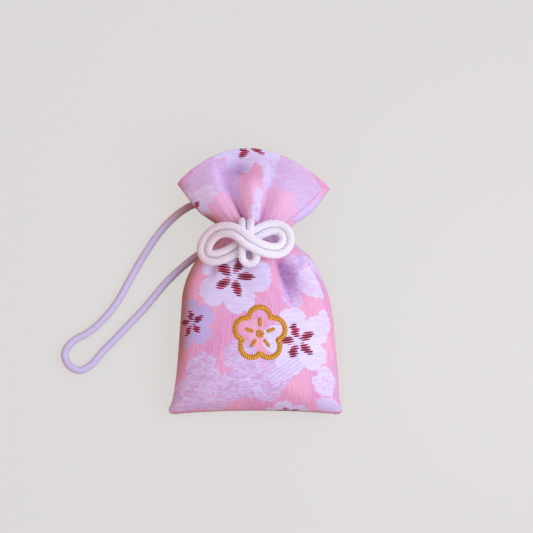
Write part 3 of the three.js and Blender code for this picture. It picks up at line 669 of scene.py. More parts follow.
def brocade(name, blossoms, loose_petals, sprays, ribbons):
    """Silk brocade. A place belongs to the nearest blossom: its petals are five broad lobes whose edge
    steps in and out from one weft row to the next, and five leaf-shaped stamens of threads in two reds lie
    along the petals. Sprays are lavender lace with patches of pink and pale crooked lines, and ribbons are
    bands of pale stripes along a straight line. Petals, lace and stamens are weft floats in rows that sag a
    little towards the middle line of the cloth, and between them the pink ground shows its upright warp
    threads. Painted light makes the ground paler above the neck, and in part the lace paler in the mouth.
    Painted warm shade makes the left seam brown, and painted shade deepens the colours down in the folds."""
    material, tree, shader = new_finish(name, roughness=0.6, specular=0.2, sheen=0.22)
    shader.inputs["Sheen Roughness"].default_value = 0.4
    across, up = cloth_place(tree)

    def scatter(value):
        """A random number, 0 to 1, for each whole number."""
        node = tree.nodes.new("ShaderNodeTexWhiteNoise")
        node.noise_dimensions = "1D"
        put(node.inputs["W"], value)
        return Reading(node.outputs["Value"])

    def mottle(scale_across, scale_up, detail, shift=0.0):
        """Soft random patches, 0 to 1, of the given number per millimetre each way."""
        place = tree.nodes.new("ShaderNodeCombineXYZ")
        put(place.inputs[0], across * scale_across)
        put(place.inputs[1], up * scale_up)
        place.inputs[2].default_value = shift
        node = tree.nodes.new("ShaderNodeTexNoise")
        node.inputs["Scale"].default_value = 1.0
        node.inputs["Detail"].default_value = detail
        tree.links.new(place.outputs[0], node.inputs["Vector"])
        return Reading(node.outputs["Fac"])

    def wave(over, pitch):
        """Crests side by side, 0 to 1."""
        return (over * (2 * math.pi / pitch)).step("SINE") * 0.5 + 0.5

    def threads(over, along, pitch, dash_length=DASH_LENGTH):
        """Threads side by side: a random number for each thread, and another for each of the dashes in
        which a thread comes up to the face. The odd factors only keep the numbers of neighbours apart."""
        thread = scatter((over / pitch).step("FLOOR"))
        dash = scatter((along / dash_length + thread * 9).step("FLOOR") * 3.17 + thread * 71)
        return thread, dash

    def reach(x, y, half_wide, half_tall):
        """How far a place lies from a middle, 1 on the edge of an ellipse."""
        wide = (frayed - x) / half_wide
        tall = (up - y) / half_tall
        return (wide * wide + tall * tall).step("SQRT")

    def crooked_lines(scale, shift, edge):
        """1 on winding lines, 0 away from them."""
        off_line = (mottle(scale, scale * LINE_SQUEEZE, 1, shift) - 0.5).step("ABSOLUTE")
        return ramp(off_line, *edge) * -1 + 1

    upright = across + up * WARP_LEAN
    row = up - (across * across + ROW_BEND ** 2).step("SQRT") * ROW_SLOPE
    _, warp_dash = threads(upright, up, WARP_PITCH)
    weft_thread, weft_dash = threads(row, across, WEFT_PITCH)
    _, lace_dash = threads(row, across, WEFT_PITCH, LACE_DASH)
    red_thread, _ = threads(row, across, STAMEN_PITCH)
    frayed = across + (weft_thread - 0.5) * FRINGE
    patches = mottle(*PETAL_PATCHES)

    nearest = None
    for middle_x, middle_y, radius, turn, white in blossoms:
        x = (frayed - middle_x) / radius
        y = (up - middle_y) / radius
        far = (x * x + y * y).step("SQRT")
        if nearest is None:
            nearest, nearest_x, nearest_y = far, x, y
            whiteness, angle_shift = x * 0 + white, x * 0 + math.radians(turn)
            continue
        closer = far.step("LESS_THAN", nearest)
        nearest_x = nearest_x.toward(x, closer)
        nearest_y = nearest_y.toward(y, closer)
        whiteness = whiteness.toward(white, closer)
        angle_shift = angle_shift.toward(math.radians(turn), closer)
        nearest = nearest.step("MINIMUM", far)
    angle = nearest_y.step("ARCTAN2", nearest_x) - angle_shift
    off_petal = ((angle / PETAL_ANGLE + 0.5).step("FRACT") - 0.5).step("ABSOLUTE") * 2
    notch = (off_petal * -NOTCH_SHARPNESS + 1).step("MAXIMUM", 0.0) * NOTCH_DEPTH
    petal_edge = off_petal.step("POWER", PETAL_FULLNESS) * -PETAL_GAP + PETAL_REACH - notch
    petals = ramp(petal_edge + patches * PETAL_WANDER - nearest, *PETAL_EDGE)
    off_side = nearest * off_petal * (PETAL_HALF_ANGLE / STAMEN_HALF_WIDE)
    off_end = (nearest - STAMEN_MIDDLE) / STAMEN_HALF_LONG
    off_stamen = off_side.step("POWER", STAMEN_POINTED) + off_end * off_end + red_thread * STAMEN_RAGGED
    thinning = (off_stamen / STAMEN_SIZE).step("POWER", STAMEN_THINNING) * STAMEN_FALL
    stamens = ramp(wave(row, STAMEN_PITCH) - thinning, *STAMEN_EDGE)

    loose_wander = mottle(*LOOSE_PATCHES) * LOOSE_WANDER
    lacy = None
    for middle_x, middle_y, half_wide, half_tall, white in loose_petals:
        inside = ramp(reach(middle_x, middle_y, half_wide, half_tall) + loose_wander, *LOOSE_EDGE)
        whiteness = whiteness.toward(white, inside)
        petals = petals.step("MAXIMUM", inside)
        lacy = inside if lacy is None else lacy.step("MAXIMUM", inside)

    spray_edge = None
    for middle_x, middle_y, radius in sprays:
        far = reach(middle_x, middle_y, radius, radius)
        spray_edge = far if spray_edge is None else spray_edge.step("MINIMUM", far)
    spray = ramp(spray_edge + mottle(*SPRAY_PATCHES) * SPRAY_WANDER, *SPRAY_EDGE)

    # The finished colours, each laid over the last in the share that the woven cloth shows
    # Painted light: the ground is made paler above the neck, against the shade of the bow and the folds.
    painted_neck_light = ramp(up, *PAINTED_LIGHT_IN) * ramp(up, *PAINTED_LIGHT_OUT)
    ground = mixed(ramp(mottle(*SALMON_PATCHES), *SALMON_EDGE), PINK, SALMON)
    pale = warp_dash * PALE_WARP_SHARE + mottle(*PALE_PATCHES) * PALE_PATCH_SHARE
    ground = mixed(pale + painted_neck_light * PAINTED_LIGHT_SHARE - PALE_LESS, ground, PALE_PINK)
    lace = mixed(lace_dash * LACE_WHITE_SHARE, LACE, WHITE)
    gaps = ramp(mottle(*LACE_GAPS, shift=3), *LACE_GAP_EDGE)
    lace = mixed(gaps * LACE_GAP_SHARE + weft_thread * LACE_THREAD_SHARE, lace, ground)
    lace = mixed(crooked_lines(**LACE_LINES) * LACE_LINE_SHARE, lace, WHITE)
    # The lace is paler in the mouth; part of this is painted light that evens out the shade on the left lobe.
    lace = mixed(ramp(up, *LACE_PALES_AND_LIGHT) * LACE_PALE_AND_LIGHT_SHARE, lace, PALE_LACE_AND_LIGHT)
    petal_colour = mixed(whiteness * PETAL_WHITE_SHARE + patches * PETAL_PATCH_SHARE, LAVENDER, WHITE)
    petal_colour = mixed(weft_dash * PETAL_DASH_SHARE, petal_colour, LAVENDER)
    petal_colour = mixed(crooked_lines(**PETAL_LINES) * PETAL_LINE_SHARE * lacy, petal_colour, ground)
    colour = mixed(petals, mixed(spray, ground, lace), petal_colour)
    for from_x, from_y, to_x, to_y, half_wide in ribbons:
        length = math.hypot(to_x - from_x, to_y - from_y)
        lean_x, lean_y = (to_x - from_x) / length, (to_y - from_y) / length
        along_ribbon = (frayed - from_x) * lean_x + (up - from_y) * lean_y
        off_ribbon = (up - from_y) * lean_x - (frayed - from_x) * lean_y
        past_end = (along_ribbon - length / 2).step("ABSOLUTE") - length / 2
        off_band = off_ribbon.step("ABSOLUTE").step("MAXIMUM", past_end + half_wide) - half_wide
        band = ramp(off_band, RIBBON_EDGE, -RIBBON_EDGE)
        stripes = mixed(wave(off_ribbon, RIBBON_PITCH) * STRIPE_SHARE + STRIPE_LEAST, LACE, WHITE)
        colour = mixed(band * RIBBON_SHARE, colour, stripes)
    # Painted warm shade: the left seam is made brown, as the warm light of the room's brown side would shade
    # it.
    painted_warm_shade = ramp(kept_number(tree, "left_seam"), *WARM_SHADE_EDGE) * ramp(up, *WARM_SHADE_IN) * ramp(up, *WARM_SHADE_OUT)
    colour = mixed(painted_warm_shade * WARM_SHADE_SHARE, colour, PAINTED_WARM_SHADE)
    colour = mixed(stamens, colour, mixed(red_thread, STAMEN_RED, BRIGHT_RED))
    # Painted shade: the colours are deepened down in the folds.
    shade = ramp(kept_number(tree, "fold"), *SHADE_EDGE)
    colour = mixed(shade * SHADE_SHARE, colour, FOLD_SHADE, "MULTIPLY")
    put(shader.inputs["Base Color"], colour)

    floats = wave(row, WEFT_PITCH) * FLOAT_RISE + FLOAT_LEAST
    relief = wave(upright, WARP_PITCH).toward(floats, petals.step("MAXIMUM", spray)) + stamens * STAMEN_RISE
    raise_surface(shader, relief, strength=0.5, distance=0.00010)
    return material


front_finish = brocade("front brocade", FRONT_BLOSSOMS, FRONT_PETALS, FRONT_SPRAYS, FRONT_RIBBONS)
front_panel = cloth_panel(
    "front_brocade", front_finish, "front", 0.0, CLOTH, SIDE_LENGTH, rows=232, columns=204)
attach(front_panel, "pouch")
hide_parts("front_panel")


# The back panel. It is the same brocade, cut to the same outline and pressed flat where the charm lies on
# it; its right edge is rolled to the front, so that a strip of it shows beside the seam.
BACK_BLOSSOMS = [
    (7.0, 36.0, 9.6, 32, 0.7), (-9.5, 22.0, 9.6, -2, 0.9), (12.0, 8.0, 8.0, 32, 0.6),
    (-3.0, 76.0, 9.6, 34, 0.8), (-15.0, 52.0, 7.2, 32, 0.5),
]
BACK_PETALS = [(20.5, 38.0, 2.8, 5.0, 0.9), (16.0, 62.0, 6.0, 7.5, 0.5), (21.0, 22.0, 2.4, 4.0, 0.6)]
BACK_SPRAYS = [
    (-12.0, 6.0, 7.0), (-2.0, 9.0, 5.5), (18.0, 48.0, 5.0), (13.0, 60.0, 5.0), (-7.0, 64.0, 6.0),
    (3.0, 66.0, 4.5),
]
BACK_RIBBONS = [(-6.0, 9.0, 3.0, 17.0, 1.9)]
back_finish = brocade("back brocade", BACK_BLOSSOMS, BACK_PETALS, BACK_SPRAYS, BACK_RIBBONS)
back_panel = cloth_panel("back_brocade", back_finish, "back", 0.0, CLOTH, SIDE_LENGTH, rows=200, columns=160)
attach(back_panel, "pouch")
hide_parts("back_panel")


# The linings. Each brocade panel is backed by a thin plain-woven pale pink silk, set a little below the rim
# and caught in the same seams, so the inside of the mouth shows it.
LINING_OUT = 0.0011
LINING_IN = 0.0015
LINING_SETBACK = 0.0015
LINING_TOP = BODY_LENGTH + TIP_RISE * (1 - LINING_SETBACK / RIM_RISE)
LINING_PITCH = 0.45
# Painted shade in the hollows of the weave
LINING_SHADED_HOLLOW = dye(232, 196, 214)
LINING_CREST = dye(247, 226, 236)
lining_finish, tree, shader = new_finish("plain silk lining", roughness=0.5, specular=0.4, sheen=0.2)
warp, weft = ((way * (2 * math.pi / LINING_PITCH)).step("SINE") for way in cloth_place(tree))
weave = warp * weft * 0.5 + 0.5
# Painted shade: the weave is darker in its hollows.
put(shader.inputs["Base Color"], mixed(weave, LINING_SHADED_HOLLOW, LINING_CREST))
raise_surface(shader, weave, strength=0.4, distance=0.00006)
for half in HALVES:
    lining = cloth_panel(
        f"{half}_silk_lining", lining_finish, half, LINING_OUT, LINING_IN, LINING_TOP, rows=120, columns=100)
    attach(lining, "pouch")
    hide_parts(f"{half}_lining")


# The seam thread. One sewing thread runs inside the seams, down the left side, along the foot and up the
# right side, and comes out in short slanting stitches that close the edges of the two panels on each other.
SEAM_START = 0.0012
SEAM_POINTS = 90
FOOT_POINTS = 60
THREAD_DEPTH = 0.00205
THREAD_RADIUS = 0.00025
THREAD_STEP = 0.0006
THREAD_SIDES = 6
STITCH_PITCH = 0.0019
STITCH_LENGTH = 0.0012
STITCH_RADIUS = 0.00014
STITCH_BLUNT = 0.02
STITCH_SLANT = 0.00025
STITCH_SINK = 0.00012
STITCH_POINTS = 7
# The thread's own colours, deepened by painted shade so that the stitches show as the dark dotted line of the
# seam
SHADED_THREAD_DARK = dye(160, 88, 146)
SHADED_THREAD_PALE = dye(206, 138, 184)


def rings_along(line, facing, radius, sides):
    """Rings of points square to a line. facing is a direction that the line never follows, and the radius
    is a number or an array of one number for each point of each ring."""
    ahead = np.gradient(line, axis=0)
    ahead /= np.linalg.norm(ahead, axis=1, keepdims=True)
    aside = np.cross(np.broadcast_to(facing, line.shape), ahead)
    aside /= np.linalg.norm(aside, axis=1, keepdims=True)
    upward = np.cross(ahead, aside)
    angle = np.linspace(0, 2 * np.pi, sides, endpoint=False)[None, :, None]
    spread = np.broadcast_to(radius, (len(line), sides))[:, :, None]
    return line[:, None] + spread * (np.cos(angle) * aside[:, None] + np.sin(angle) * upward[:, None])


def closed_rings(rings):
    """Points, four-cornered walls and three-cornered ends of a surface of rings, closed at both ends by
    fans to a point in the middle of the end ring."""
    count, sides = rings.shape[:2]
    place = np.arange(count * sides).reshape(count, sides)
    beside = np.roll(place, -1, axis=1)
    walls = np.stack([place[:-1], beside[:-1], beside[1:], place[1:]], axis=-1).reshape(-1, 4)
    first = np.stack([beside[0], place[0], np.full(sides, count * sides)], axis=-1)
    last = np.stack([place[-1], beside[-1], np.full(sides, count * sides + 1)], axis=-1)
    points = np.concatenate([rings.reshape(-1, 3), rings[:1].mean(axis=1), rings[-1:].mean(axis=1)])
    return points, walls, np.concatenate([first, last])


def joined_rings(runs):
    """Points, walls and ends of several runs of rings, each closed at its ends, as one mesh."""
    parts = [closed_rings(run) for run in runs]
    start = np.cumsum([0] + [len(points) for points, _, _ in parts])
    points = np.concatenate([points for points, _, _ in parts])
    walls = np.concatenate([walls + first for (_, walls, _), first in zip(parts, start)])
    ends = np.concatenate([ends + first for (_, _, ends), first in zip(parts, start)])
    return points, walls, ends


def even_line(line, spacing):
    """The same line with its points set out again at an even spacing."""
    length = way_along(line)
    at = np.linspace(0, length[-1], max(int(round(length[-1] / spacing)), 2) + 1)
    return np.stack([np.interp(at, length, line[:, k]) for k in range(3)], axis=1)


def seam_line(depth, spacing):
    """The way along the seams, a depth under the face: down the left, along the foot and up the right."""
    side = np.linspace(SEAM_START, LINING_TOP, SEAM_POINTS)
    foot_turn = np.linspace(np.pi, 2 * np.pi, FOOT_POINTS)[2:-2]
    left = pouch_point(side[::-1], left_seam_turn(side), depth)
    foot = pouch_point(0 * foot_turn, foot_turn, depth)
    right = pouch_point(side, seam_roll(side), depth)
    return even_line(np.concatenate([left, foot, right]), spacing)


def stretched_place(tree, stretch):
    """A place in the piece, times a scale for each axis."""
    mapping = tree.nodes.new("ShaderNodeMapping")
    mapping.inputs["Scale"].default_value = stretch
    tree.links.new(tree.nodes.new("ShaderNodeTexCoord").outputs["Object"], mapping.inputs["Vector"])
    return mapping.outputs[0]


def fine_fibres(tree, scale, detail, stretch=(1, 1, 1)):
    """Random fibres or fluff, 0 to 1, as fine as the scale says, and drawn out by a scale for each axis."""
    node = tree.nodes.new("ShaderNodeTexNoise")
    node.inputs["Scale"].default_value = scale
    node.inputs["Detail"].default_value = detail
    tree.links.new(stretched_place(tree, stretch), node.inputs["Vector"])
    return Reading(node.outputs["Fac"])


inside_run = seam_line(THREAD_DEPTH, THREAD_STEP)
outer_run = seam_line(STITCH_SINK, STITCH_PITCH)
outer_ahead = np.gradient(outer_run, axis=0)
outer_ahead /= np.linalg.norm(outer_ahead, axis=1, keepdims=True)
stitch_bow = np.linspace(-1, 1, STITCH_POINTS)[:, None]
stitch_radius = STITCH_RADIUS * np.sqrt(1 + STITCH_BLUNT - stitch_bow ** 2)
runs = [rings_along(inside_run, (0, 0, 1), THREAD_RADIUS, THREAD_SIDES)]
for middle, ahead in zip(outer_run[1:-1], outer_ahead[1:-1]):
    line = middle + stitch_bow * ahead * STITCH_LENGTH / 2 + stitch_bow * (0, 0, STITCH_SLANT)
    runs.append(rings_along(line, (0, 0, 1), stitch_radius, THREAD_SIDES))
points, walls, ends = joined_rings(runs)
thread_finish, tree, shader = new_finish("sewing thread", roughness=0.55, specular=0.3, sheen=0.2)
# Partly painted shade: the thread is darker than its own colour, for the shade along the seam line.
put(shader.inputs["Base Color"], mixed(fine_fibres(tree, scale=4000, detail=2), SHADED_THREAD_DARK, SHADED_THREAD_PALE))
seam_thread = new_piece("seam_stitches", points, walls, thread_finish, ends)
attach(seam_thread, "pouch")
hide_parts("seam_thread")


# The wadding. Two pads of loose white cotton, one above and one below the talisman, fill the pouch so that
# its face swells; they are laid in by hand and held only by the lining round them.
PAD_DEPTH = 0.0019
PAD_EDGE = 5.0
PAD_SQUARE = 0.55
PAD_START = 0.02
TUFT_HEIGHT = 0.00012
TUFTS = (3100, 2700)
TUFT_BENDS = (1700, 1500)
TUFT_WANDER = 2
SEAM_SHY = 0.999
COTTON_SHADE = dye(228, 222, 212)
COTTON_WHITE = dye(252, 250, 246)


def front_turn(x, side):
    """The angle round the section of a place on the front, given from the middle line and from the foot."""
    across = np.clip(x / half_width(side), -SEAM_SHY, SEAM_SHY)
    return np.arccos(signed_power(across, 1 / SECTION_POWER))


def pad_surface(node, front, rounds, spokes):
    """A pad in its solid's box: rings shrink from the middle's outline to a point above and below. The
    outline is a rounded square, the outer face lies under the cloth, and the edges close in on a steep
    power curve."""
    low, high = (np.array(corner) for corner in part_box(node))
    spoke = np.linspace(0, 2 * np.pi, spokes, endpoint=False)[None, :]
    ring = np.sin(np.linspace(PAD_START, np.pi / 2, rounds))[:, None]
    x = (low[0] + high[0]) / 2 + ring * signed_power(np.cos(spoke), PAD_SQUARE) * (high[0] - low[0]) / 2
    y = (low[1] + high[1]) / 2 + ring * signed_power(np.sin(spoke), PAD_SQUARE) * (high[1] - low[1]) / 2
    side = y - FOOT_Y
    turn = front_turn(x, side)
    cloth = pouch_point(side, turn if front else 2 * np.pi - turn, PAD_DEPTH)[..., 2]
    inside = np.full_like(cloth, low[2] if front else high[2])
    middle = (cloth + inside) / 2
    close = (1 - ring ** PAD_EDGE) ** 0.5
    tufts_x = np.sin(x * TUFTS[0] + TUFT_WANDER * np.sin(y * TUFT_BENDS[0]))
    tufts_y = np.sin(y * TUFTS[1] + TUFT_WANDER * np.sin(x * TUFT_BENDS[1]))
    tufts = TUFT_HEIGHT * (tufts_x * tufts_y - 1)
    face = middle + (cloth - middle + np.sign(cloth - inside) * tufts) * close
    under = middle + (inside - middle) * close
    return np.concatenate([np.stack([x, y, face], axis=-1), np.stack([x, y, under], axis=-1)[-2::-1]])


wadding_finish, tree, shader = new_finish("cotton wadding", roughness=0.95, specular=0.1, sheen=0.5)
fluff = fine_fibres(tree, scale=900, detail=6)
put(shader.inputs["Base Color"], mixed(fluff, COTTON_SHADE, COTTON_WHITE))
raise_surface(shader, fluff, strength=0.8, distance=0.0003)
for half in HALVES:
    points, walls, ends = closed_rings(pad_surface(f"{half}_wadding", half == "front", rounds=40, spokes=96))
    wadding = new_piece(f"{half}_cotton_pad", points, walls, wadding_finish, ends)
    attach(wadding, "pouch")
    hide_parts(f"{half}_wadding")


# The talisman. A thin slip of wood with a pointed head lies in a folded wrapper of white mulberry paper,
# which stands between the two pads and can be drawn a few millimetres up towards the neck.
PAPER_STRETCH = (900, 160, 900)
PAPER_EDGE = (0.35, 0.65)
PAPER_SHADE = dye(226, 218, 200)
PAPER_WHITE = dye(250, 247, 238)
GRAIN_STRETCH = (1, 0.06, 1)
GRAIN_SCALE = 260
GRAIN_WANDER = 3.5
GRAIN_DETAIL = 2
WOOD_DARK = dye(201, 161, 112)
WOOD_PALE = dye(228, 197, 150)
paper_finish, tree, shader = new_finish("mulberry paper", roughness=0.85, specular=0.2)
fibre = fine_fibres(tree, scale=1, detail=5, stretch=PAPER_STRETCH)
put(shader.inputs["Base Color"], mixed(ramp(fibre, *PAPER_EDGE), PAPER_SHADE, PAPER_WHITE))
raise_surface(shader, fibre, strength=0.5, distance=0.00008)

slip_finish, tree, shader = new_finish("planed cypress", roughness=0.6, specular=0.3)
grain = tree.nodes.new("ShaderNodeTexWave")
grain.inputs["Scale"].default_value = GRAIN_SCALE
grain.inputs["Distortion"].default_value = GRAIN_WANDER
grain.inputs["Detail"].default_value = GRAIN_DETAIL
tree.links.new(stretched_place(tree, GRAIN_STRETCH), grain.inputs["Vector"])
put(shader.inputs["Base Color"], mixed(Reading(grain.outputs["Fac"]), WOOD_DARK, WOOD_PALE))
for node, finish in (("paper_wrapper", paper_finish), ("prayer_slip", slip_finish)):
    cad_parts[node].data.materials.clear()
    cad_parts[node].data.materials.append(finish)


# The neck tie. A round white braided cord goes once round the neck, over the gathers, and draws the pouch
# shut; its two ends go into the bow in front.
KNOT_RADIUS = 0.00105
KNOT_BRAID = {"radius": KNOT_RADIUS, "yarns": 8, "pitch": 0.00100, "relief": 0.30}
RING_STEP = 0.00010
RING_SIDES = 48
TIE_SINK = 0.0006
TIE_OPENING = math.radians(12)
TIE_POINTS = 240
FIBRE_SHARE = 0.3
CREST_EDGE = (0.15, 0.75)
# The brown painted on the cords as warm shade
CORD_WARM_SHADE = dye(186, 116, 88)
# Painted shade in the hollows of the white braid
KNOT_SHADED_HOLLOW = dye(192, 182, 210)
KNOT_CREST = dye(255, 254, 255)


def braid_height(angle, length, yarns, pitch):
    """Height of a braid's surface, 0 to 1, at an angle round it and a length along it. Two sets of yarns
    wind round in opposite senses. Each yarn is a round ridge that goes over one yarn of the other set and
    under the next, and the surface is the higher of the two."""
    turns = yarns * angle / (2 * np.pi)
    climb = length / pitch
    right, left = turns + climb, turns - climb
    ridge_right = np.sqrt(1 - (2 * (right % 1) - 1) ** 2)
    ridge_left = np.sqrt(1 - (2 * (left % 1) - 1) ** 2)
    over_right = 0.5 + 0.5 * np.cos(np.pi * (left - 0.5 + np.floor(right)))
    over_left = 0.5 + 0.5 * np.cos(np.pi * (right + 0.5 + np.floor(left)))
    return np.maximum(ridge_right * over_right, ridge_left * over_left)


def no_painted_shade(line, length):
    """A cord with no painted warm shade."""
    return 0 * length


def braided_cord(
        name, line, facing, material, radius, yarns, pitch, relief,
        sides=RING_SIDES, step=RING_STEP, painted_shade=no_painted_shade):
    """A round braided cord along a line: rings whose radius is less by the relief in the hollows of the
    braid. Its points keep the height of the braid, and the share of painted warm shade on the cord there."""
    line = even_line(np.asarray(line), step)
    length = way_along(line)[:, None]
    angle = np.linspace(0, 2 * np.pi, sides, endpoint=False)[None, :]
    braid = braid_height(angle, length, yarns, pitch)
    points, walls, ends = closed_rings(rings_along(line, facing, radius * (1 - relief * (1 - braid)), sides))
    cord = new_piece(name, points, walls, material, ends)
    for kept, values in (("braid", braid), ("warm_shade", painted_shade(line, length) + 0 * angle)):
        keep_number(cord, kept, np.append(values, [0, 0]))
    return cord


def cord_finish(name, shaded_hollow, crest, roughness):
    """Braided yarn: its colour goes from the hollows to the crests of the braid, darker in the hollows as
    painted shade, with fine fibres over both, and is browner where the cord keeps painted warm shade."""
    material, tree, shader = new_finish(name, roughness=roughness, specular=0.3, sheen=0.25)
    fibre = fine_fibres(tree, scale=5200, detail=3)
    # Painted shade: the colour is darker down in the hollows of the braid.
    lit = ramp(kept_number(tree, "braid") + (fibre - 0.5) * FIBRE_SHARE, *CREST_EDGE)
    # Painted warm shade: the colour goes brown where the cord keeps it.
    put(shader.inputs["Base Color"], mixed(kept_number(tree, "warm_shade"), mixed(lit, shaded_hollow, crest), CORD_WARM_SHADE))
    raise_surface(shader, fibre, strength=0.35, distance=0.00005)
    return material


knot_finish = cord_finish("white braid", KNOT_SHADED_HOLLOW, KNOT_CREST, roughness=0.6)
tie_turns = np.linspace(np.pi / 2 + TIE_OPENING / 2, 5 * np.pi / 2 - TIE_OPENING / 2, TIE_POINTS)
tie_line = pouch_point(BODY_LENGTH + 0 * tie_turns, tie_turns, TIE_SINK - KNOT_RADIUS)
neck_tie = braided_cord("neck_cord", tie_line, (0, 1, 0), knot_finish, **KNOT_BRAID)
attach(neck_tie, "pouch")
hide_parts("neck_tie")


# The bow. The cord goes twice round a figure of eight, two strands side by side, and makes a round ear on
# each side of the crossing; there the strand changes sides, and its two ends are tucked away.
BOW_X = -0.0023
BOW_Y = NECK_Y - 0.0038
BOW_STEP = 0.00025
BOW_SIDES = 44
OVER_TIE = 0.01515
EAR_FULLNESS = 1.0
EAR_DROOP = 0.0017
EAR_POINTS = 241
STRAND_SHIFT = 0.00103
BOW_LIFT = 0.0020
BOW_HEIGHT = OVER_TIE + BOW_LIFT
SWAP_LENGTH = 0.0017
# Share of painted warm shade at the far end of the left ear
BOW_SHADE_SHARE = 0.28
EARS = [
    {"axis": math.radians(6), "reach": 0.0105, "span": 0.0033, "lean": 0.0},
    {"axis": math.radians(184.5), "reach": 0.0106, "span": 0.0033, "lean": 0.42},
]


def ear_line(axis, reach, span, lean):
    """One ear: a rounded teardrop that leaves the crossing at its top and comes back at its bottom. Its
    length goes as the squared sine of half the turn, its width as the sine of the turn drawn in towards the
    crossing."""
    t = np.linspace(0, 2 * np.pi, EAR_POINTS)
    aside = np.sin(t) * np.sin(t / 2) ** EAR_FULLNESS
    aside = span * aside / aside.max()
    out = reach * np.sin(t / 2) ** 2 - lean * aside
    hand = np.sign(math.cos(axis))
    x = BOW_X + out * math.cos(axis) - hand * aside * math.sin(axis)
    y = BOW_Y + out * math.sin(axis) + hand * aside * math.cos(axis)
    return np.stack([x, y, 0 * x], axis=1)


def bow_painted_shade(line, length):
    """Painted warm shade: the left ear is browner the further it lies from the crossing."""
    return BOW_SHADE_SHARE * np.clip((BOW_X - line[:, :1]) / EARS[1]["reach"], 0, 1)


round_once = np.concatenate([ear_line(**ear)[:-1] for ear in EARS])
round_once = even_line(np.concatenate([round_once, round_once[:1]]), BOW_STEP)[:-1]
steps_round = len(round_once)
ahead = np.roll(round_once, -2, axis=0) - np.roll(round_once, 2, axis=0)
beside = np.stack([-ahead[:, 1], ahead[:, 0], 0 * ahead[:, 0]], axis=1)
beside /= np.linalg.norm(beside, axis=1, keepdims=True)
step_number = np.arange(2 * steps_round + 1)
which = step_number % steps_round
past_middle = (step_number - steps_round) * BOW_STEP / SWAP_LENGTH
shift = STRAND_SHIFT * (1 - 2 * eased(past_middle / 2 + 0.5))
turn = 2 * np.pi * step_number / steps_round
bow_line = round_once[which] + beside[which] * shift[:, None]
bow_line[:, 2] = BOW_HEIGHT - BOW_LIFT * np.cos(turn) - EAR_DROOP * np.sin(turn) ** 2
bow = braided_cord("bow", bow_line, (0, 0, 1), knot_finish, **KNOT_BRAID, sides=BOW_SIDES, painted_shade=bow_painted_shade)
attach(bow, "pouch")
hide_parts("bow_loops")


# The centre bight. A doubled length of the same cord rises out of the folds behind the tie, runs down
# through the bow's crossing, between its lower and its upper pair of strands, and ends below it in a small
# open loop.
BIGHT_STRANDS = 0.00108
BIGHT_WIDE = 0.0019
BIGHT_REACH = 0.0095
BIGHT_ASIDE = 0.0008
BIGHT_STEPS = 24
BIGHT_X = BOW_X + BIGHT_ASIDE
BIGHT_MIDDLE_Y = NECK_Y - BIGHT_REACH + BIGHT_WIDE
# How far a strand lies above the neck and over the tie on its way out of the folds
BIGHT_RISE = [(0.0026, -0.0035), (0.0014, -0.0005), (-0.0001, 0.0015), (-0.0017, BOW_LIFT)]
# How far the small loop sags under the bow's height, at its sides, its lower corners and its foot
BIGHT_SAG = (0.0004, 0.0008, 0.0011)


def smooth_line(points, steps):
    """A smooth line through points: between each two a cubic that leaves and arrives along its neighbours'
    chords, with the points timed by the square root of their distance."""
    points = np.asarray(points, float)
    ends = np.concatenate([[2 * points[0] - points[1]], points, [2 * points[-1] - points[-2]]])
    gap = np.sqrt(np.linalg.norm(np.diff(ends, axis=0), axis=1))[:, None]
    before, here, after, beyond = ends[:-3], ends[1:-2], ends[2:-1], ends[3:]
    gap0, gap1, gap2 = gap[:-2], gap[1:-1], gap[2:]
    leave = gap1 * ((here - before) / gap0 - (after - before) / (gap0 + gap1) + (after - here) / gap1)
    arrive = gap1 * ((after - here) / gap1 - (beyond - here) / (gap1 + gap2) + (beyond - after) / gap2)
    t = np.linspace(0, 1, steps, endpoint=False)[None, :, None]
    rise = eased(t)
    pieces = here[:, None] * (1 - rise) + after[:, None] * rise
    pieces = pieces + t * (1 - t) * ((1 - t) * leave[:, None] - t * arrive[:, None])
    return np.concatenate([pieces.reshape(-1, 3), points[-1:]])


def bight_side(hand):
    """One strand of the bight, from a fold of the neck, over the tie, through the bow and down to the
    loop."""
    strand = BOW_X + hand * BIGHT_STRANDS
    corner = BIGHT_WIDE * math.sqrt(0.5)
    return [(strand, NECK_Y + above, OVER_TIE + over) for above, over in BIGHT_RISE] + [
        (strand + BIGHT_ASIDE / 3, BOW_Y, BOW_HEIGHT),
        (BIGHT_X + hand * BIGHT_WIDE, BIGHT_MIDDLE_Y, BOW_HEIGHT - BIGHT_SAG[0]),
        (BIGHT_X + hand * corner, BIGHT_MIDDLE_Y - corner, BOW_HEIGHT - BIGHT_SAG[1]),
    ]


bight_foot = [(BIGHT_X, NECK_Y - BIGHT_REACH, BOW_HEIGHT - BIGHT_SAG[2])]
bight_line = smooth_line(bight_side(-1) + bight_foot + bight_side(1)[::-1], BIGHT_STEPS)
centre_bight = braided_cord("centre_cord_loop", bight_line, (0, 0, 1), knot_finish, **KNOT_BRAID)
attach(centre_bight, "pouch")
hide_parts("centre_bight")


# The hitch. The two ends of the hanging loop are wound round each other behind the neck and drawn tight
# under the tie, so that the loop swings from this small coil.
HITCH_X = -0.0015
HITCH_RADIUS = 0.0023
HITCH_CORD = 0.00066
HITCH_BRAID = {"radius": HITCH_CORD, "yarns": 8, "pitch": 0.0005, "relief": 0.12}
HITCH_SIDES = 40
HITCH_TURNS = 2.0
HITCH_LEAD = 0.4
HITCH_TUCK = 0.45
HITCH_POINTS = 220
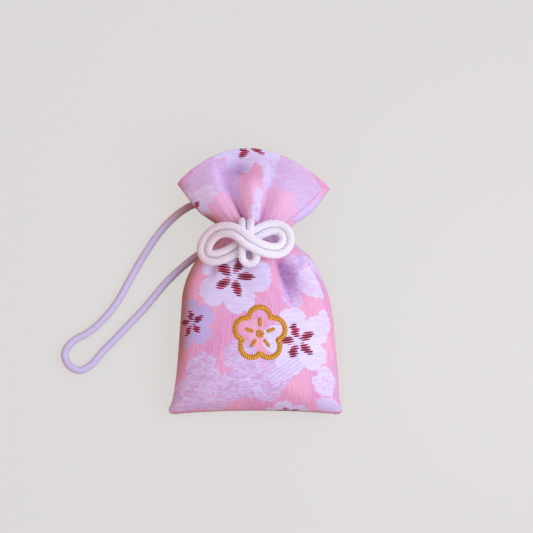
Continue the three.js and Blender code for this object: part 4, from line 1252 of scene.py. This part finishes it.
# Painted shade in the hollows of the lilac braid
LILAC_SHADED_HOLLOW = dye(184, 172, 212)
LILAC_CREST = dye(222, 215, 241)
loop_finish = cord_finish("pale lilac braid", LILAC_SHADED_HOLLOW, LILAC_CREST, roughness=0.45)
hitch_low, hitch_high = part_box("hitch_knot")
full_wind = HITCH_TURNS * 2 * np.pi
wind = np.linspace(-HITCH_LEAD, full_wind + HITCH_LEAD, HITCH_POINTS)
rise = np.clip(wind / full_wind, 0, 1)
drawn_out = np.clip(np.minimum(wind - wind[0], wind[-1] - wind) / (2 * HITCH_LEAD), 0, 1)
coil = (HITCH_RADIUS - HITCH_CORD) * (HITCH_TUCK + (1 - HITCH_TUCK) * drawn_out)
hitch_line = np.stack([
    HITCH_X + coil * np.cos(wind), NECK_Y + coil * np.sin(wind),
    hitch_low.z + HITCH_CORD + (hitch_high.z - hitch_low.z - 2 * HITCH_CORD) * rise], axis=1)
hitch = braided_cord("hitch_coil", hitch_line, (0, 0, 1), loop_finish, **HITCH_BRAID, sides=HITCH_SIDES)
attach(hitch, "pouch")
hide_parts("hitch_knot")


# The hanging loop. A smooth pale lilac braided cord, about 130 mm long, leaves the hitch on its upper left,
# lies out on the board to a rounded end, and comes back to the hitch on its lower left. Both ends are painted
# brown, as warm shade beside the pouch.
# Painted warm shade on both legs towards the hitch: where it is full, where it ends, and its share
SHADE_FULL = 0.016
SHADE_END = 0.028
CORD_SHADE_SHARE = 0.8
LOWER_LEG_LESS = 0.007
LOOP_RADIUS = 0.00100
LOOP_BRAID = {"radius": LOOP_RADIUS, "yarns": 12, "pitch": 0.00060, "relief": 0.07}
LOOP_STEP = 0.00011
LOOP_HEIGHT = 0.0011
ROUTE_STEPS = 30
UPPER_EXIT = math.radians(142)
LOWER_EXIT = math.radians(196)
EXIT_NEAR = 0.0026
EXIT_FAR = 0.0046
LOOP_ROUTE = [
    (-0.0074, 0.0177), (-0.0114, 0.0211), (-0.0160, 0.0224), (-0.0197, 0.0206), (-0.0226, 0.0181),
    (-0.0255, 0.0149), (-0.0283, 0.0108), (-0.0307, 0.0068), (-0.0332, 0.0023), (-0.0359, -0.0028),
    (-0.0381, -0.0061), (-0.0401, -0.0085), (-0.0422, -0.0106), (-0.0446, -0.0124), (-0.0469, -0.0136),
    (-0.0489, -0.0152), (-0.0502, -0.0178), (-0.0491, -0.0207), (-0.0463, -0.0221), (-0.0436, -0.0210),
    (-0.0417, -0.0190), (-0.0397, -0.0166), (-0.0379, -0.0148), (-0.0353, -0.0120), (-0.0326, -0.0091),
    (-0.0297, -0.0060), (-0.0270, -0.0027), (-0.0242, 0.0007), (-0.0213, 0.0037), (-0.0184, 0.0063),
    (-0.0157, 0.0084), (-0.0124, 0.0103), (-0.0086, 0.0119),
]


def hitch_exit(angle, distance):
    """A point beside the hitch, at an angle and a distance from its middle."""
    return HITCH_X + distance * math.cos(angle), NECK_Y + distance * math.sin(angle)


def loop_painted_shade(line, length):
    """Painted warm shade: both legs are browner towards the hitch, the lower one for less of its length."""
    to_hitch = np.minimum(length, length[-1] - length + LOWER_LEG_LESS)
    return np.interp(to_hitch, (SHADE_FULL, SHADE_END), (CORD_SHADE_SHARE, 0))


upper_end = [hitch_exit(UPPER_EXIT, EXIT_NEAR), hitch_exit(UPPER_EXIT, EXIT_FAR)]
lower_end = [hitch_exit(LOWER_EXIT, EXIT_FAR), hitch_exit(LOWER_EXIT, EXIT_NEAR)]
loop_points = [(x, y, LOOP_HEIGHT) for x, y in upper_end + LOOP_ROUTE + lower_end]
loop_line = smooth_line(loop_points, ROUTE_STEPS)
hanging_loop = braided_cord(
    "hanging_cord", loop_line, (0, 0, 1), loop_finish, **LOOP_BRAID, step=LOOP_STEP, painted_shade=loop_painted_shade)
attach(hanging_loop, "loop")
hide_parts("hanging_loop")


# The gold embroidery. A plain five-lobed plum blossom in gold thread is sewn on the lower front in satin
# stitch: each line is a narrow raised band of threads laid side by side across it.
MOTIF_X = 0.0008
MOTIF_SIDE = 0.0192
MOTIF_TALL = 1.06
LOBES = 5
LOBE_OUT = 0.0038
LOBE_RADIUS = 0.0028
SPOKE_FROM = 0.0017
SPOKE_TO = 0.0041
EYE_RADIUS = 0.0006
BAND_HALF = 0.00064
SPOKE_HALF = 0.00046
BAND_HEIGHT = 0.00036
BAND_SLANT = 0.00022
BAND_STEP = 0.00006
BAND_SIDES = 16
BAND_BLUNT = 0.02
BAND_OVERLAP = 0.1
GOLD_THREAD = 0.00052
THREAD_PROUD = 0.12
FACE_STEP = 0.0001
OUTLINE_POINTS = 400
SPOKE_POINTS = 40
GOLD_EDGE = (0.2, 0.9)
# Painted shade between the gold threads
GOLD_SHADED_HOLLOW = dye(132, 62, 4)
GOLD_CREST = dye(242, 176, 46)


def front_face(x, side):
    """Points of the front panel's face, given from the middle line and from the foot."""
    return pouch_point(side, front_turn(x, side))


def satin_line(x, up, half_wide):
    """One sewn line: rings of a low round band on the cloth, with a ridge for each thread across it, and
    the height of those ridges. The band closes in at both ends, and stands out square to the cloth."""
    flat = even_line(np.stack([x, up, 0 * x], axis=1), BAND_STEP)
    run = np.gradient(flat, axis=0) / BAND_STEP
    length = BAND_STEP * np.arange(len(flat))[:, None]
    close = np.sqrt(np.clip(np.minimum(length, length[-1] - length) / half_wide, BAND_BLUNT, 1))
    around = np.linspace(0, 2 * np.pi, BAND_SIDES, endpoint=False)[None, :]
    aside = np.cos(around)
    ridge = np.abs(np.cos(np.pi * (length + BAND_SLANT * aside) / GOLD_THREAD))
    wide = half_wide * close * (1 + THREAD_PROUD * (ridge - 0.5)) * aside
    on_x = MOTIF_X + flat[:, :1] - run[:, 1:2] * wide
    on_side = MOTIF_SIDE + (flat[:, 1:2] + run[:, :1] * wide) * MOTIF_TALL
    rightward = front_face(on_x + FACE_STEP, on_side) - front_face(on_x - FACE_STEP, on_side)
    upward = front_face(on_x, on_side + FACE_STEP) - front_face(on_x, on_side - FACE_STEP)
    outward = np.cross(rightward, upward)
    outward /= np.linalg.norm(outward, axis=-1, keepdims=True)
    lift = BAND_HEIGHT * close * np.sin(around) * (0.5 + 0.5 * ridge)
    return front_face(on_x, on_side) + outward * lift[..., None], ridge


turn = np.linspace(np.pi / LOBES, 2 * np.pi + np.pi / LOBES + BAND_OVERLAP, OUTLINE_POINTS)
off_lobe = ((turn * LOBES / (2 * np.pi) + 0.5) % 1 - 0.5) * 2 * np.pi / LOBES
edge = LOBE_OUT * np.cos(off_lobe) + np.sqrt(LOBE_RADIUS ** 2 - (LOBE_OUT * np.sin(off_lobe)) ** 2)
sewn_lines = [
    satin_line(edge * np.sin(turn), edge * np.cos(turn), BAND_HALF),
    satin_line(EYE_RADIUS * np.sin(turn), EYE_RADIUS * np.cos(turn), SPOKE_HALF),
]
out = np.linspace(SPOKE_FROM, SPOKE_TO, SPOKE_POINTS)
for lobe in range(LOBES):
    angle = 2 * math.pi * lobe / LOBES
    sewn_lines.append(satin_line(out * math.sin(angle), out * math.cos(angle), SPOKE_HALF))
points, walls, ends = joined_rings([rings for rings, _ in sewn_lines])
gold_finish, tree, shader = new_finish("gold thread", roughness=0.38, specular=0.5, metallic=0.45)
# Painted shade: the gold is darker down between its threads.
raised = ramp(kept_number(tree, "ridge"), *GOLD_EDGE)
put(shader.inputs["Base Color"], mixed(raised, GOLD_SHADED_HOLLOW, GOLD_CREST))
embroidery = new_piece("gold_embroidery", points, walls, gold_finish, ends)
keep_number(embroidery, "ridge", np.concatenate([np.append(ridge, [0, 0]) for _, ridge in sewn_lines]))
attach(embroidery, "pouch")
